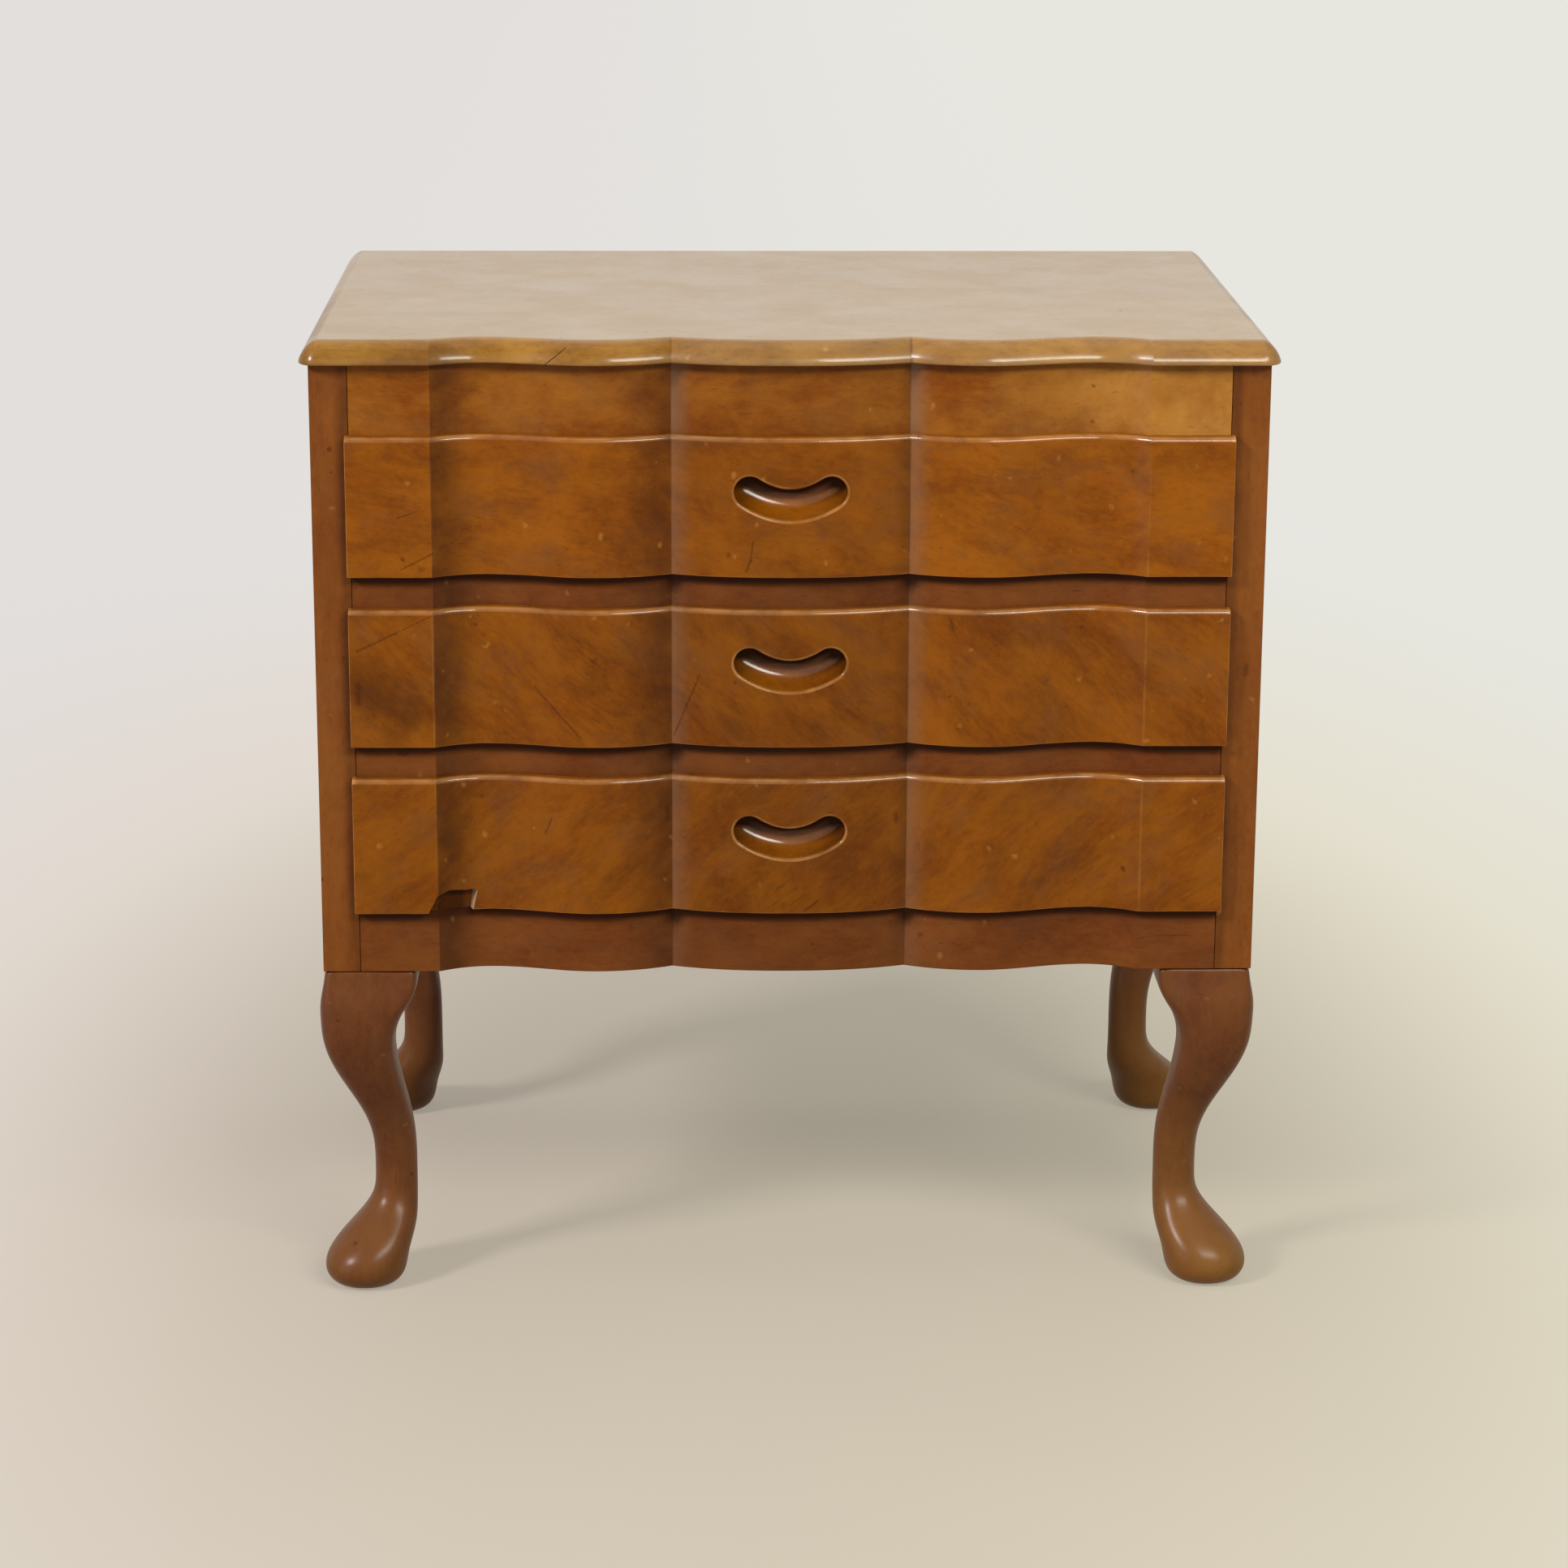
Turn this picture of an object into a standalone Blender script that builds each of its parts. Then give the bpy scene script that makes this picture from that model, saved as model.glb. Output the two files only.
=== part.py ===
"""A small chest of three drawers with a serpentine front, on four cabriole legs.

Metres, +Z up. X runs across the front and Y runs from the front to the back.
The origin is on the floor, under the middle of the whole chest.
"""
import math

import bmesh
import bpy

# Fit between pieces
GAP = 0.0003

# Carcass
CARCASS_WIDTH = 0.600
CARCASS_DEPTH = 0.383
SIDE_THICKNESS = 0.024
FRIEZE_HEIGHT = 0.0476
DIVIDER_HEIGHT = 0.027
APRON_HEIGHT = 0.0443
RAIL_DEPTH = 0.030
BOTTOM_THICKNESS = 0.012
BACK_THICKNESS = 0.006
BACK_REBATE_WIDTH = 0.009
REAR_RAIL_HEIGHT = 0.030
REAR_RAIL_THICKNESS = 0.022

# Strips inside the carcass
STRIP_WIDTH = 0.018
RUNNER_HEIGHT = 0.016
KICKER_HEIGHT = 0.014
CLEAT_HEIGHT = 0.016

# Serpentine front, read inwards from each side of the drawer opening
FLAT_END = 0.051
COVE_WIDTH = 0.033
RISE_WIDTH = 0.068
FALL_WIDTH = 0.049
VALLEY_DEPTH = 0.011
GROOVE_DEPTH = 0.0105
SWELL_PROUD = 0.0015
HUMP_POWER = 2.1
CENTRE_POWER = 2.4

# Top board and its thumbnail moulding
TOP_THICKNESS = 0.015
TOP_OVERHANG_FRONT = 0.0085
TOP_OVERHANG_SIDE = 0.006
TOP_OVERHANG_BACK = 0.006
THUMBNAIL_WIDTH = 0.012
THUMBNAIL_DROP = 0.0095
UNDERCUT_WIDTH = 0.004

# Drawers, named from the bottom up
DRAWER_NAMES = ("lower", "middle", "upper")
OPENING_HEIGHT = 0.0832
LIP_THICKNESS = 0.008
LIP_COVER_SIDE = 0.0022
LIP_COVER_RAIL = 0.003
LIP_TOP_ROUND = 0.004
LIP_END_ROUND = 0.0025
FRONT_DEPTH = 0.022
FRONT_REBATE = 0.012
DRAWER_BACK_CLEARANCE = 0.0267
DRAWER_SIDE_THICKNESS = 0.012
DRAWER_SIDE_CLEARANCE = 0.0015
DRAWER_TOP_CLEARANCE = 0.002
DRAWER_BACK_THICKNESS = 0.010
DRAWER_BACK_DROP = 0.006
PANEL_THICKNESS = 0.005
PANEL_RISE = 0.008
PANEL_GROOVE = 0.005

# Dovetails at the corners of the drawers
TAIL_COUNT = 3
PIN_HALF_WIDTH = 0.003
PIN_FLARE = 0.002
PIN_ROOT = 0.001

# Kidney-shaped finger pull, carved into each drawer front
PULL_SPAN = 0.051
PULL_SAG = 0.0094
PULL_RADIUS = 0.0107
PULL_RIM = 0.0015
PULL_RIM_DEPTH = 0.0012
PULL_RISE = 0.0057
PULL_DEPTH = 0.0145
PULL_FLOOR = 0.0021
PULL_CLIMB = 0.0064
PULL_UNDERCUT = 0.0015

# Old break in the lower edge of the lower drawer's lip, just inside its left flat
CHIP_DRAWER = "lower"
CHIP_FROM_FLAT = 0.0105
CHIP_WIDTH = 0.036
CHIP_HEIGHT = 0.0145
CHIP_SLANT = 0.012
CHIP_DEPTH = 0.0068
# Its ragged upper edge, in shares of the width each side of its middle and of the height
CHIP_EDGE = ((-0.5, -0.2), (-0.3, 0.8), (-0.1, 1.0), (0.2, 0.94), (0.4, 0.97), (0.5, 0.88))

# Cabriole legs, cut to the same pattern on both outer faces
LEG_HEIGHT = 0.2212
LEG_BLOCK = 0.060
BLOCK_FLAT = 0.008
SHOULDER = 0.0012
KNEE_DROP = 0.0335
KNEE_FLAT = 0.0105
KNEE_BULGE = 0.0042
BRACKET_DROP = 0.0485
BRACKET_WIDTH = 0.0435
ANKLE_HEIGHT = 0.0745
ANKLE_FLAT = 0.025
ANKLE_SETBACK = 0.0274
ANKLE_WIDTH = 0.0279
HEEL_HEIGHT = 0.042
FOOT_HEIGHT = 0.0132
FOOT_WIDTH = 0.0552
FOOT_BULGE = 0.0063
SOLE_INSET = 0.013
BLOCK_SQUARENESS = 12.0
KNEE_SQUARENESS = 4.0
FOOT_SQUARENESS = 2.1

# Leg fixings
DOWEL_DIAMETER = 0.014
DOWEL_IN_LEG = 0.020
DOWEL_COVER = 0.003
CORNER_BLOCK = 0.042

# Facets
CENTRE_STEPS = 6
FALL_STEPS = 5
RISE_STEPS = 7
COVE_STEPS = 4
ROUND_STEPS = 3
LEG_POINTS = 24
SOLE_STEPS = 3
FOOT_STEPS = 7
SHIN_STEPS = 8
KNEE_STEPS = 5
PULL_SPINE_STEPS = 8
PULL_END_STEPS = 6
PULL_SCOOP_STEPS = 4
DOWEL_POINTS = 16
SMOOTH_ANGLE = math.radians(35)

# Levels and faces worked out from the sizes above
CARCASS_HALF = CARCASS_WIDTH / 2
OPENING_HALF = CARCASS_HALF - SIDE_THICKNESS
CENTRE_HALF = OPENING_HALF - FLAT_END - COVE_WIDTH - RISE_WIDTH - FALL_WIDTH
CARCASS_BASE = LEG_HEIGHT + GAP
DRAWER_PITCH = OPENING_HEIGHT + DIVIDER_HEIGHT
FIRST_OPENING = CARCASS_BASE + APRON_HEIGHT
OPENINGS_TOP = FIRST_OPENING + len(DRAWER_NAMES) * DRAWER_PITCH - DIVIDER_HEIGHT
CARCASS_TOP = OPENINGS_TOP + FRIEZE_HEIGHT
BACK_FACE = CARCASS_DEPTH - BACK_THICKNESS
INNER_BACK = BACK_FACE - GAP
INNER_FRONT = RAIL_DEPTH + GAP
INNER_HALF = OPENING_HALF - GAP
REAR_RAIL_FACE = INNER_BACK - REAR_RAIL_THICKNESS
BOARD_TOP = CARCASS_BASE + BOTTOM_THICKNESS
BLOCK_TOP = FIRST_OPENING - RUNNER_HEIGHT - GAP
DOWEL_SETBACK = (max(RAIL_DEPTH, SIDE_THICKNESS) + LEG_BLOCK) / 2
DRAWER_LENGTH = INNER_BACK - DRAWER_BACK_CLEARANCE
CHIP_MIDDLE = CHIP_FROM_FLAT + FLAT_END - OPENING_HALF
FRONT_REACH = max(LIP_THICKNESS + SWELL_PROUD, TOP_OVERHANG_FRONT + SWELL_PROUD, FOOT_BULGE)
BACK_REACH = CARCASS_DEPTH + max(TOP_OVERHANG_BACK, FOOT_BULGE)
STILE_FACE = (FRONT_REACH - BACK_REACH) / 2


def wood(name, colour, roughness):
    """A plain wood finish."""
    finish = bpy.data.materials.new(name)
    finish.use_nodes = True
    shader = finish.node_tree.nodes["Principled BSDF"]
    shader.inputs["Base Color"].default_value = (*colour, 1.0)
    shader.inputs["Roughness"].default_value = roughness
    shader.inputs["Metallic"].default_value = 0.0
    return finish


def ease(share):
    """A smooth step from 0 to 1."""
    return (1 - math.cos(math.pi * share)) / 2


def eased(knots, level):
    """The value at a level, on smooth steps between knots of (level, value)."""
    for (low, start), (high, end) in zip(knots, knots[1:]):
        if level <= high:
            share = max(0.0, (level - low) / (high - low))
            return start + (end - start) * ease(share)
    return knots[-1][1]


def serpentine(x):
    """How far the front line lies behind the stile face at a place across the front."""
    inward = OPENING_HALF - abs(x) - FLAT_END
    if inward <= 0:
        return 0.0
    if inward <= COVE_WIDTH:
        return VALLEY_DEPTH * (1 - (1 - inward / COVE_WIDTH) ** 2)
    inward -= COVE_WIDTH
    if inward <= RISE_WIDTH:
        return VALLEY_DEPTH - (VALLEY_DEPTH + SWELL_PROUD) * ease(inward / RISE_WIDTH)
    inward -= RISE_WIDTH
    if inward <= FALL_WIDTH:
        return (GROOVE_DEPTH + SWELL_PROUD) * (inward / FALL_WIDTH) ** HUMP_POWER - SWELL_PROUD
    return (GROOVE_DEPTH + SWELL_PROUD) * (abs(x) / CENTRE_HALF) ** CENTRE_POWER - SWELL_PROUD


def stations(half_width):
    """Places across the front, from left to right, that draw the serpentine line."""
    places = [0.0]
    stretches = (
        (CENTRE_HALF, CENTRE_STEPS),
        (FALL_WIDTH, FALL_STEPS),
        (RISE_WIDTH, RISE_STEPS),
        (COVE_WIDTH, COVE_STEPS),
    )
    for width, steps in stretches:
        start = places[-1]
        places.extend(start + width * (step + 1) / steps for step in range(steps))
    places.append(half_width)
    return [-place for place in reversed(places[1:])] + places


def loft(rings, body=None):
    """A closed body through rings of points, capped at both ends, by itself or beside others."""
    if body is None:
        body = bmesh.new()
    loops = [[body.verts.new(point) for point in ring] for ring in rings]
    for lower, upper in zip(loops, loops[1:]):
        for index in range(len(lower)):
            before = index - 1
            body.faces.new((lower[before], lower[index], upper[index], upper[before]))
    body.faces.new(loops[0])
    body.faces.new(loops[-1])
    bmesh.ops.recalc_face_normals(body, faces=body.faces)
    return body


def standing(outline, low, high):
    """A plan outline of (x, y) points carried upwards."""
    return loft([[(x, y, level) for x, y in outline] for level in (low, high)])


def lengthways(outline, front, back):
    """A section of (x, z) points carried from the front to the back."""
    return loft([[(x, place, z) for x, z in outline] for place in (front, back)])


def crosswise(outlines, start, end):
    """Prisms from side to side, one for each outline of (y, z) points."""
    body = bmesh.new()
    for outline in outlines:
        loft([[(place, y, z) for y, z in outline] for place in (start, end)], body)
    return body


def board(x_range, y_range, z_range):
    """A square-edged board between two corners."""
    left, right = sorted(x_range)
    front, back = y_range
    outline = [(left, front), (right, front), (right, back), (left, back)]
    return standing(outline, *z_range)


def add_piece(name, body, finish, parent, smooth=False):
    """Turn a body into a named piece of the chest."""
    mesh = bpy.data.meshes.new(name)
    body.to_mesh(mesh)
    body.free()
    mesh.materials.append(finish)
    if smooth:
        mesh.shade_smooth()
        mesh.set_sharp_from_angle(angle=SMOOTH_ANGLE)
    piece = bpy.data.objects.new(name, mesh)
    bpy.context.scene.collection.objects.link(piece)
    piece.parent = parent
    return piece


def add_empty(name, place, parent=None):
    """A marker that carries the pieces of one moving body."""
    empty = bpy.data.objects.new(name, None)
    bpy.context.scene.collection.objects.link(empty)
    empty.location = place
    empty.parent = parent
    return empty


def add_tool(name, body, parent):
    """A shape that cuts or extends a piece, and is no piece itself."""
    tool = add_piece(name, body, None, parent)
    tool.hide_render = True
    tool.display_type = "WIRE"
    return tool


def combine(piece, tool, operation):
    """Cut a tool's shape out of a piece, or unite the two."""
    modifier = piece.modifiers.new(tool.name, "BOOLEAN")
    modifier.operation = operation
    modifier.object = tool


def top_board():
    """The top, with a thumbnail moulding on its front and ends."""
    def ring(inset, rise):
        half = CARCASS_HALF + TOP_OVERHANG_SIDE - inset
        back = CARCASS_DEPTH + TOP_OVERHANG_BACK
        line = [(x, serpentine(x) - TOP_OVERHANG_FRONT + inset) for x in stations(half)]
        line += [(half, back), (-half, back)]
        return [(x, y, CARCASS_TOP + GAP + rise) for x, y in line]

    tip = TOP_THICKNESS - THUMBNAIL_DROP
    angles = [math.pi / 2 * step / ROUND_STEPS for step in range(ROUND_STEPS + 1)]
    rings = [ring(UNDERCUT_WIDTH * (1 - math.sin(a)), tip * (1 - math.cos(a))) for a in angles]
    rings += [
        ring(THUMBNAIL_WIDTH * (1 - math.cos(a)), tip + THUMBNAIL_DROP * math.sin(a))
        for a in angles[1:]
    ]
    return loft(rings)


def serpentine_rail(low, high):
    """A rail between the sides whose front face follows the serpentine line."""
    outline = [(x, serpentine(x)) for x in stations(INNER_HALF)]
    outline += [(INNER_HALF, RAIL_DEPTH), (-INNER_HALF, RAIL_DEPTH)]
    return standing(outline, low, high)


def side_panel(side):
    """A side of the carcass, rebated at the back for the back panel."""
    rebate = OPENING_HALF + BACK_REBATE_WIDTH
    outline = [
        (OPENING_HALF, 0.0),
        (CARCASS_HALF, 0.0),
        (CARCASS_HALF, CARCASS_DEPTH),
        (rebate, CARCASS_DEPTH),
        (rebate, INNER_BACK),
        (OPENING_HALF, INNER_BACK),
    ]
    return standing([(side * x, y) for x, y in outline], CARCASS_BASE, CARCASS_TOP)


def inner_strip(side, back, low, high):
    """A strip along the inside of a carcass side."""
    width = (side * INNER_HALF, side * (INNER_HALF - STRIP_WIDTH))
    return board(width, (INNER_FRONT, back), (low, high))


def leg_section(level, inset=0.0):
    """One level of a leg, as (inward, inward) distances from its two outer faces."""
    knee_low = LEG_HEIGHT - KNEE_DROP - KNEE_FLAT / 2
    ankle_low = ANKLE_HEIGHT - ANKLE_FLAT / 2
    ankle_high = ANKLE_HEIGHT + ANKLE_FLAT / 2
    outer_line = [
        (FOOT_HEIGHT, -FOOT_BULGE),
        (ankle_low, ANKLE_SETBACK),
        (ankle_high, ANKLE_SETBACK),
        (knee_low, -KNEE_BULGE),
        (knee_low + KNEE_FLAT, -KNEE_BULGE),
        (LEG_HEIGHT, 0.0),
    ]
    inner_line = [
        (FOOT_HEIGHT, FOOT_WIDTH - FOOT_BULGE),
        (HEEL_HEIGHT, ANKLE_SETBACK + ANKLE_WIDTH),
        (ankle_high, ANKLE_SETBACK + ANKLE_WIDTH),
        (LEG_HEIGHT - BRACKET_DROP, BRACKET_WIDTH),
        (LEG_HEIGHT - BLOCK_FLAT, LEG_BLOCK),
    ]
    squareness_line = [
        (ankle_low, FOOT_SQUARENESS),
        (knee_low, KNEE_SQUARENESS),
        (LEG_HEIGHT, BLOCK_SQUARENESS),
    ]
    if level < FOOT_HEIGHT:
        inset = SOLE_INSET * (1 - math.sqrt(1 - (1 - level / FOOT_HEIGHT) ** 2))
    outer = eased(outer_line, level) + inset
    inner = eased(inner_line, level) - inset
    power = 2 / eased(squareness_line, level)
    middle = (outer + inner) / 2
    radius = (inner - outer) / 2
    section = []
    for index in range(LEG_POINTS):
        turn = 2 * math.pi * index / LEG_POINTS
        across = math.copysign(abs(math.cos(turn)) ** power, math.cos(turn))
        along = math.copysign(abs(math.sin(turn)) ** power, math.sin(turn))
        section.append((middle + radius * across, middle + radius * along))
    return section


def cabriole_leg(side, end):
    """A leg at one corner: side is -1 left or 1 right, end is 0 front or 1 rear."""
    def ring(level, inset=0.0):
        points = []
        for across, along in leg_section(level, inset):
            y = CARCASS_DEPTH - along if end else along
            points.append((side * (CARCASS_HALF - across), y, level))
        return points

    knee = LEG_HEIGHT - KNEE_DROP
    shoulder = LEG_HEIGHT - SHOULDER
    turns = [math.pi / 2 * step / SOLE_STEPS for step in range(SOLE_STEPS)]
    levels = [FOOT_HEIGHT * (1 - math.cos(turn)) for turn in turns]
    stretches = (
        (FOOT_HEIGHT, ANKLE_HEIGHT, FOOT_STEPS),
        (ANKLE_HEIGHT, knee, SHIN_STEPS),
        (knee, shoulder, KNEE_STEPS),
    )
    for low, high, steps in stretches:
        levels.extend(low + (high - low) * step / steps for step in range(steps))
    rings = [ring(level) for level in levels + [shoulder]]
    rings.append(ring(LEG_HEIGHT, SHOULDER))
    return loft(rings)


def dowel(side, end, slack):
    """The dowel that pins a leg to the carcass, or its hole when slack is added."""
    low = LEG_HEIGHT - DOWEL_IN_LEG - slack
    high = BLOCK_TOP - DOWEL_COVER + slack
    radius = DOWEL_DIAMETER / 2 + slack
    x = side * (CARCASS_HALF - DOWEL_SETBACK)
    y = CARCASS_DEPTH - DOWEL_SETBACK if end else DOWEL_SETBACK
    rings = []
    for level in (low, high):
        turns = [2 * math.pi * index / DOWEL_POINTS for index in range(DOWEL_POINTS)]
        rings.append([(x + radius * math.cos(t), y + radius * math.sin(t), level) for t in turns])
    return loft(rings)


def drawer_lip():
    """The serpentine face of a drawer, round along its top edge and at its ends."""
    low = -LIP_COVER_RAIL
    high = OPENING_HEIGHT + LIP_COVER_RAIL
    half = OPENING_HALF + LIP_COVER_SIDE
    angles = [math.pi / 2 * step / ROUND_STEPS for step in range(ROUND_STEPS + 1)]

    def section(x, set_back):
        face = serpentine(x) - LIP_THICKNESS + set_back
        back = serpentine(x) - GAP
        points = [(face, low)]
        for a in angles:
            drop = LIP_TOP_ROUND * (1 - math.sin(a))
            points.append((face + LIP_TOP_ROUND * (1 - math.cos(a)), high - drop))
        points += [(back, high), (back, low)]
        return [(x, y, z) for y, z in points]

    rings = [section(x, 0.0) for x in stations(half - LIP_END_ROUND)]
    for a in angles[1:]:
        place = half - LIP_END_ROUND * (1 - math.sin(a))
        set_back = LIP_END_ROUND * (1 - math.cos(a))
        rings.insert(0, section(-place, set_back))
        rings.append(section(place, set_back))
    return loft(rings)


def drawer_core(half, inner_half):
    """The thick part of a drawer front, rebated at its ends for the drawer's sides."""
    rebate = FRONT_DEPTH - FRONT_REBATE
    outline = [(x, serpentine(x) - LIP_THICKNESS / 2) for x in stations(half)]
    outline += [(half, rebate), (inner_half, rebate), (inner_half, FRONT_DEPTH)]
    outline += [(-inner_half, FRONT_DEPTH), (-inner_half, rebate), (-half, rebate)]
    return standing(outline, GAP, OPENING_HEIGHT - DRAWER_TOP_CLEARANCE)


def pin_row(narrow, wide, low, high, slack=0.0):
    """Dovetail pins up a drawer's corner, as (y, z) outlines, with half pins at both ends of the row.

    The pins widen from one place along Y to the other, and slack makes the sockets that take them.
    """
    overrun = math.copysign(slack, wide - narrow)
    ends = ((narrow - overrun, PIN_HALF_WIDTH), (wide + overrun, PIN_HALF_WIDTH + PIN_FLARE))
    outlines = []
    for index in range(TAIL_COUNT + 1):
        middle = low + (high - low) * index / TAIL_COUNT
        under = [(y, max(middle - reach, low) - slack) for y, reach in ends]
        over = [(y, min(middle + reach, high) + slack) for y, reach in ends]
        outlines.append(under + over[::-1])
    return outlines


def pull_outline(radius):
    """A kidney outline at one reach from its sagging spine, as (x, z) points."""
    half = PULL_SPAN / 2

    def offset(x, side):
        slope = 2 * PULL_SAG * x / half ** 2
        length = math.hypot(1.0, slope)
        rise = PULL_SAG * (x / half) ** 2 - PULL_SAG / 2
        return (x - side * radius * slope / length, rise + side * radius / length)

    places = [half * (2 * step / PULL_SPINE_STEPS - 1) for step in range(PULL_SPINE_STEPS + 1)]
    lean = math.atan(2 * PULL_SAG / half)
    rise = PULL_SAG / 2
    turns = [math.pi * step / PULL_END_STEPS for step in range(1, PULL_END_STEPS)]
    outline = [offset(x, -1) for x in places]
    outline += [
        (half + radius * math.sin(lean + t), rise - radius * math.cos(lean + t)) for t in turns
    ]
    outline += [offset(x, 1) for x in reversed(places)]
    outline += [
        (-half - radius * math.sin(t - lean), rise + radius * math.cos(t - lean)) for t in turns
    ]
    return outline


def finger_pull():
    """The hollow of a finger pull: a scoop that rises to an undercut behind its upper rim."""
    middle = OPENING_HEIGHT / 2 + PULL_RISE
    scoop = PULL_DEPTH - PULL_RIM_DEPTH
    levels = [(-PULL_RIM_DEPTH, PULL_RADIUS + 2 * PULL_RIM, 0.0)]
    levels.append((PULL_RIM_DEPTH, PULL_RADIUS, 0.0))
    for step in range(1, PULL_SCOOP_STEPS + 1):
        share = math.sin(math.pi / 2 * step / PULL_SCOOP_STEPS)
        reach = math.sqrt(PULL_RADIUS ** 2 - (PULL_RADIUS ** 2 - PULL_FLOOR ** 2) * share ** 2)
        rise = PULL_CLIMB * (PULL_RADIUS - reach) / (PULL_RADIUS - PULL_FLOOR)
        rise += PULL_UNDERCUT * math.sin(math.pi * share)
        levels.append((PULL_RIM_DEPTH + scoop * share, reach, rise))
    rings = []
    for depth, reach, rise in levels:
        ring = []
        for x, z in pull_outline(reach):
            face = serpentine(x) - LIP_THICKNESS
            ring.append((x, face + depth, middle + z + rise))
        rings.append(ring)
    ahead = -LIP_THICKNESS - SWELL_PROUD - PULL_DEPTH
    rings.insert(0, [(x, ahead, z) for x, y, z in rings[0]])
    return loft(rings)


def lip_chip():
    """The break in a lip's lower edge: a slanting notch with a ragged upper edge."""
    low = -LIP_COVER_RAIL
    rings = []
    for share, height in CHIP_EDGE:
        x = CHIP_MIDDLE + share * CHIP_WIDTH
        face = serpentine(x) - LIP_THICKNESS
        top = low + height * CHIP_HEIGHT
        slant = CHIP_SLANT * max(share, 0.0)
        rings.append([
            (x - slant, face - CHIP_DEPTH, low - CHIP_HEIGHT),
            (x - slant, face + CHIP_DEPTH, low - CHIP_HEIGHT),
            (x, face + CHIP_DEPTH, top),
            (x, face - CHIP_DEPTH, top),
        ])
    return loft(rings)


def add_drawer(name, slide, front_wood, box_wood):
    """One drawer: a lipped front and a box that runs on the strips inside."""
    half = OPENING_HALF - DRAWER_SIDE_CLEARANCE
    side_inner = half - DRAWER_SIDE_THICKNESS
    inner_half = side_inner - GAP
    side_top = OPENING_HEIGHT - DRAWER_TOP_CLEARANCE
    rebate = FRONT_DEPTH - FRONT_REBATE
    groove_low = PANEL_RISE
    groove_high = PANEL_RISE + PANEL_THICKNESS + 2 * GAP
    back_face = DRAWER_LENGTH - DRAWER_BACK_THICKNESS
    back_top = side_top - DRAWER_BACK_DROP
    front_row = (rebate - PIN_ROOT, FRONT_DEPTH, GAP, side_top)
    back_row = (DRAWER_LENGTH, back_face, groove_high, back_top)

    front = add_piece(f"{name}_drawer_front", drawer_lip(), front_wood, slide, smooth=True)
    core = add_tool(f"{name}_front_core", drawer_core(half, inner_half), slide)
    combine(front, core, "UNION")
    back_body = board((-inner_half, inner_half), (back_face, DRAWER_LENGTH), (groove_high, back_top))
    back = add_piece(f"{name}_drawer_back", back_body, box_wood, slide)
    for word, side in (("left", -1), ("right", 1)):
        for piece, corner, row in ((front, "front", front_row), (back, "back", back_row)):
            pins = crosswise(pin_row(*row), side * (inner_half - PIN_ROOT), side * half)
            combine(piece, add_tool(f"{name}_{corner}_{word}_pins", pins, slide), "UNION")
    groove = board(
        (-side_inner, side_inner),
        (FRONT_DEPTH - PANEL_GROOVE, FRONT_DEPTH + PANEL_GROOVE),
        (groove_low, groove_high),
    )
    combine(front, add_tool(f"{name}_front_groove", groove, slide), "DIFFERENCE")
    combine(front, add_tool(f"{name}_pull_hollow", finger_pull(), slide), "DIFFERENCE")
    if name == CHIP_DRAWER:
        combine(front, add_tool(f"{name}_lip_chip", lip_chip(), slide), "DIFFERENCE")

    section = [
        (side_inner, GAP),
        (half, GAP),
        (half, side_top),
        (side_inner, side_top),
        (side_inner, groove_high),
        (side_inner + PANEL_GROOVE, groove_high),
        (side_inner + PANEL_GROOVE, groove_low),
        (side_inner, groove_low),
    ]
    for word, side in (("left", -1), ("right", 1)):
        outline = [(side * x, z) for x, z in section]
        side_body = lengthways(outline, rebate + GAP, DRAWER_LENGTH)
        drawer_side = add_piece(f"{name}_drawer_{word}_side", side_body, box_wood, slide)
        for corner, row in (("front", front_row), ("back", back_row)):
            sockets = crosswise(pin_row(*row, GAP), side * (inner_half - PIN_ROOT), side * CARCASS_HALF)
            tool = add_tool(f"{name}_{corner}_{word}_sockets", sockets, slide)
            combine(drawer_side, tool, "DIFFERENCE")

    panel_half = side_inner + PANEL_GROOVE - GAP
    panel = board(
        (-panel_half, panel_half),
        (FRONT_DEPTH - PANEL_GROOVE + GAP, DRAWER_LENGTH),
        (groove_low + GAP, groove_high - GAP),
    )
    add_piece(f"{name}_drawer_bottom", panel, box_wood, slide)


def add_leg(name, side, end, carcass, leg_wood, block_wood, bottom):
    """A leg, the block above it and the dowel that pins them through the bottom board."""
    leg = add_piece(f"{name}_leg", cabriole_leg(side, end), leg_wood, carcass, smooth=True)
    start = INNER_BACK - CORNER_BLOCK if end else INNER_FRONT
    block_body = board(
        (side * INNER_HALF, side * (INNER_HALF - CORNER_BLOCK)),
        (start, start + CORNER_BLOCK),
        (BOARD_TOP + GAP, BLOCK_TOP),
    )
    block = add_piece(f"{name}_corner_block", block_body, block_wood, carcass)
    hole = add_tool(f"{name}_dowel_hole", dowel(side, end, GAP), carcass)
    for piece in (leg, block, bottom):
        combine(piece, hole, "DIFFERENCE")
    add_piece(f"{name}_leg_dowel", dowel(side, end, 0.0), block_wood, carcass, smooth=True)


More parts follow.
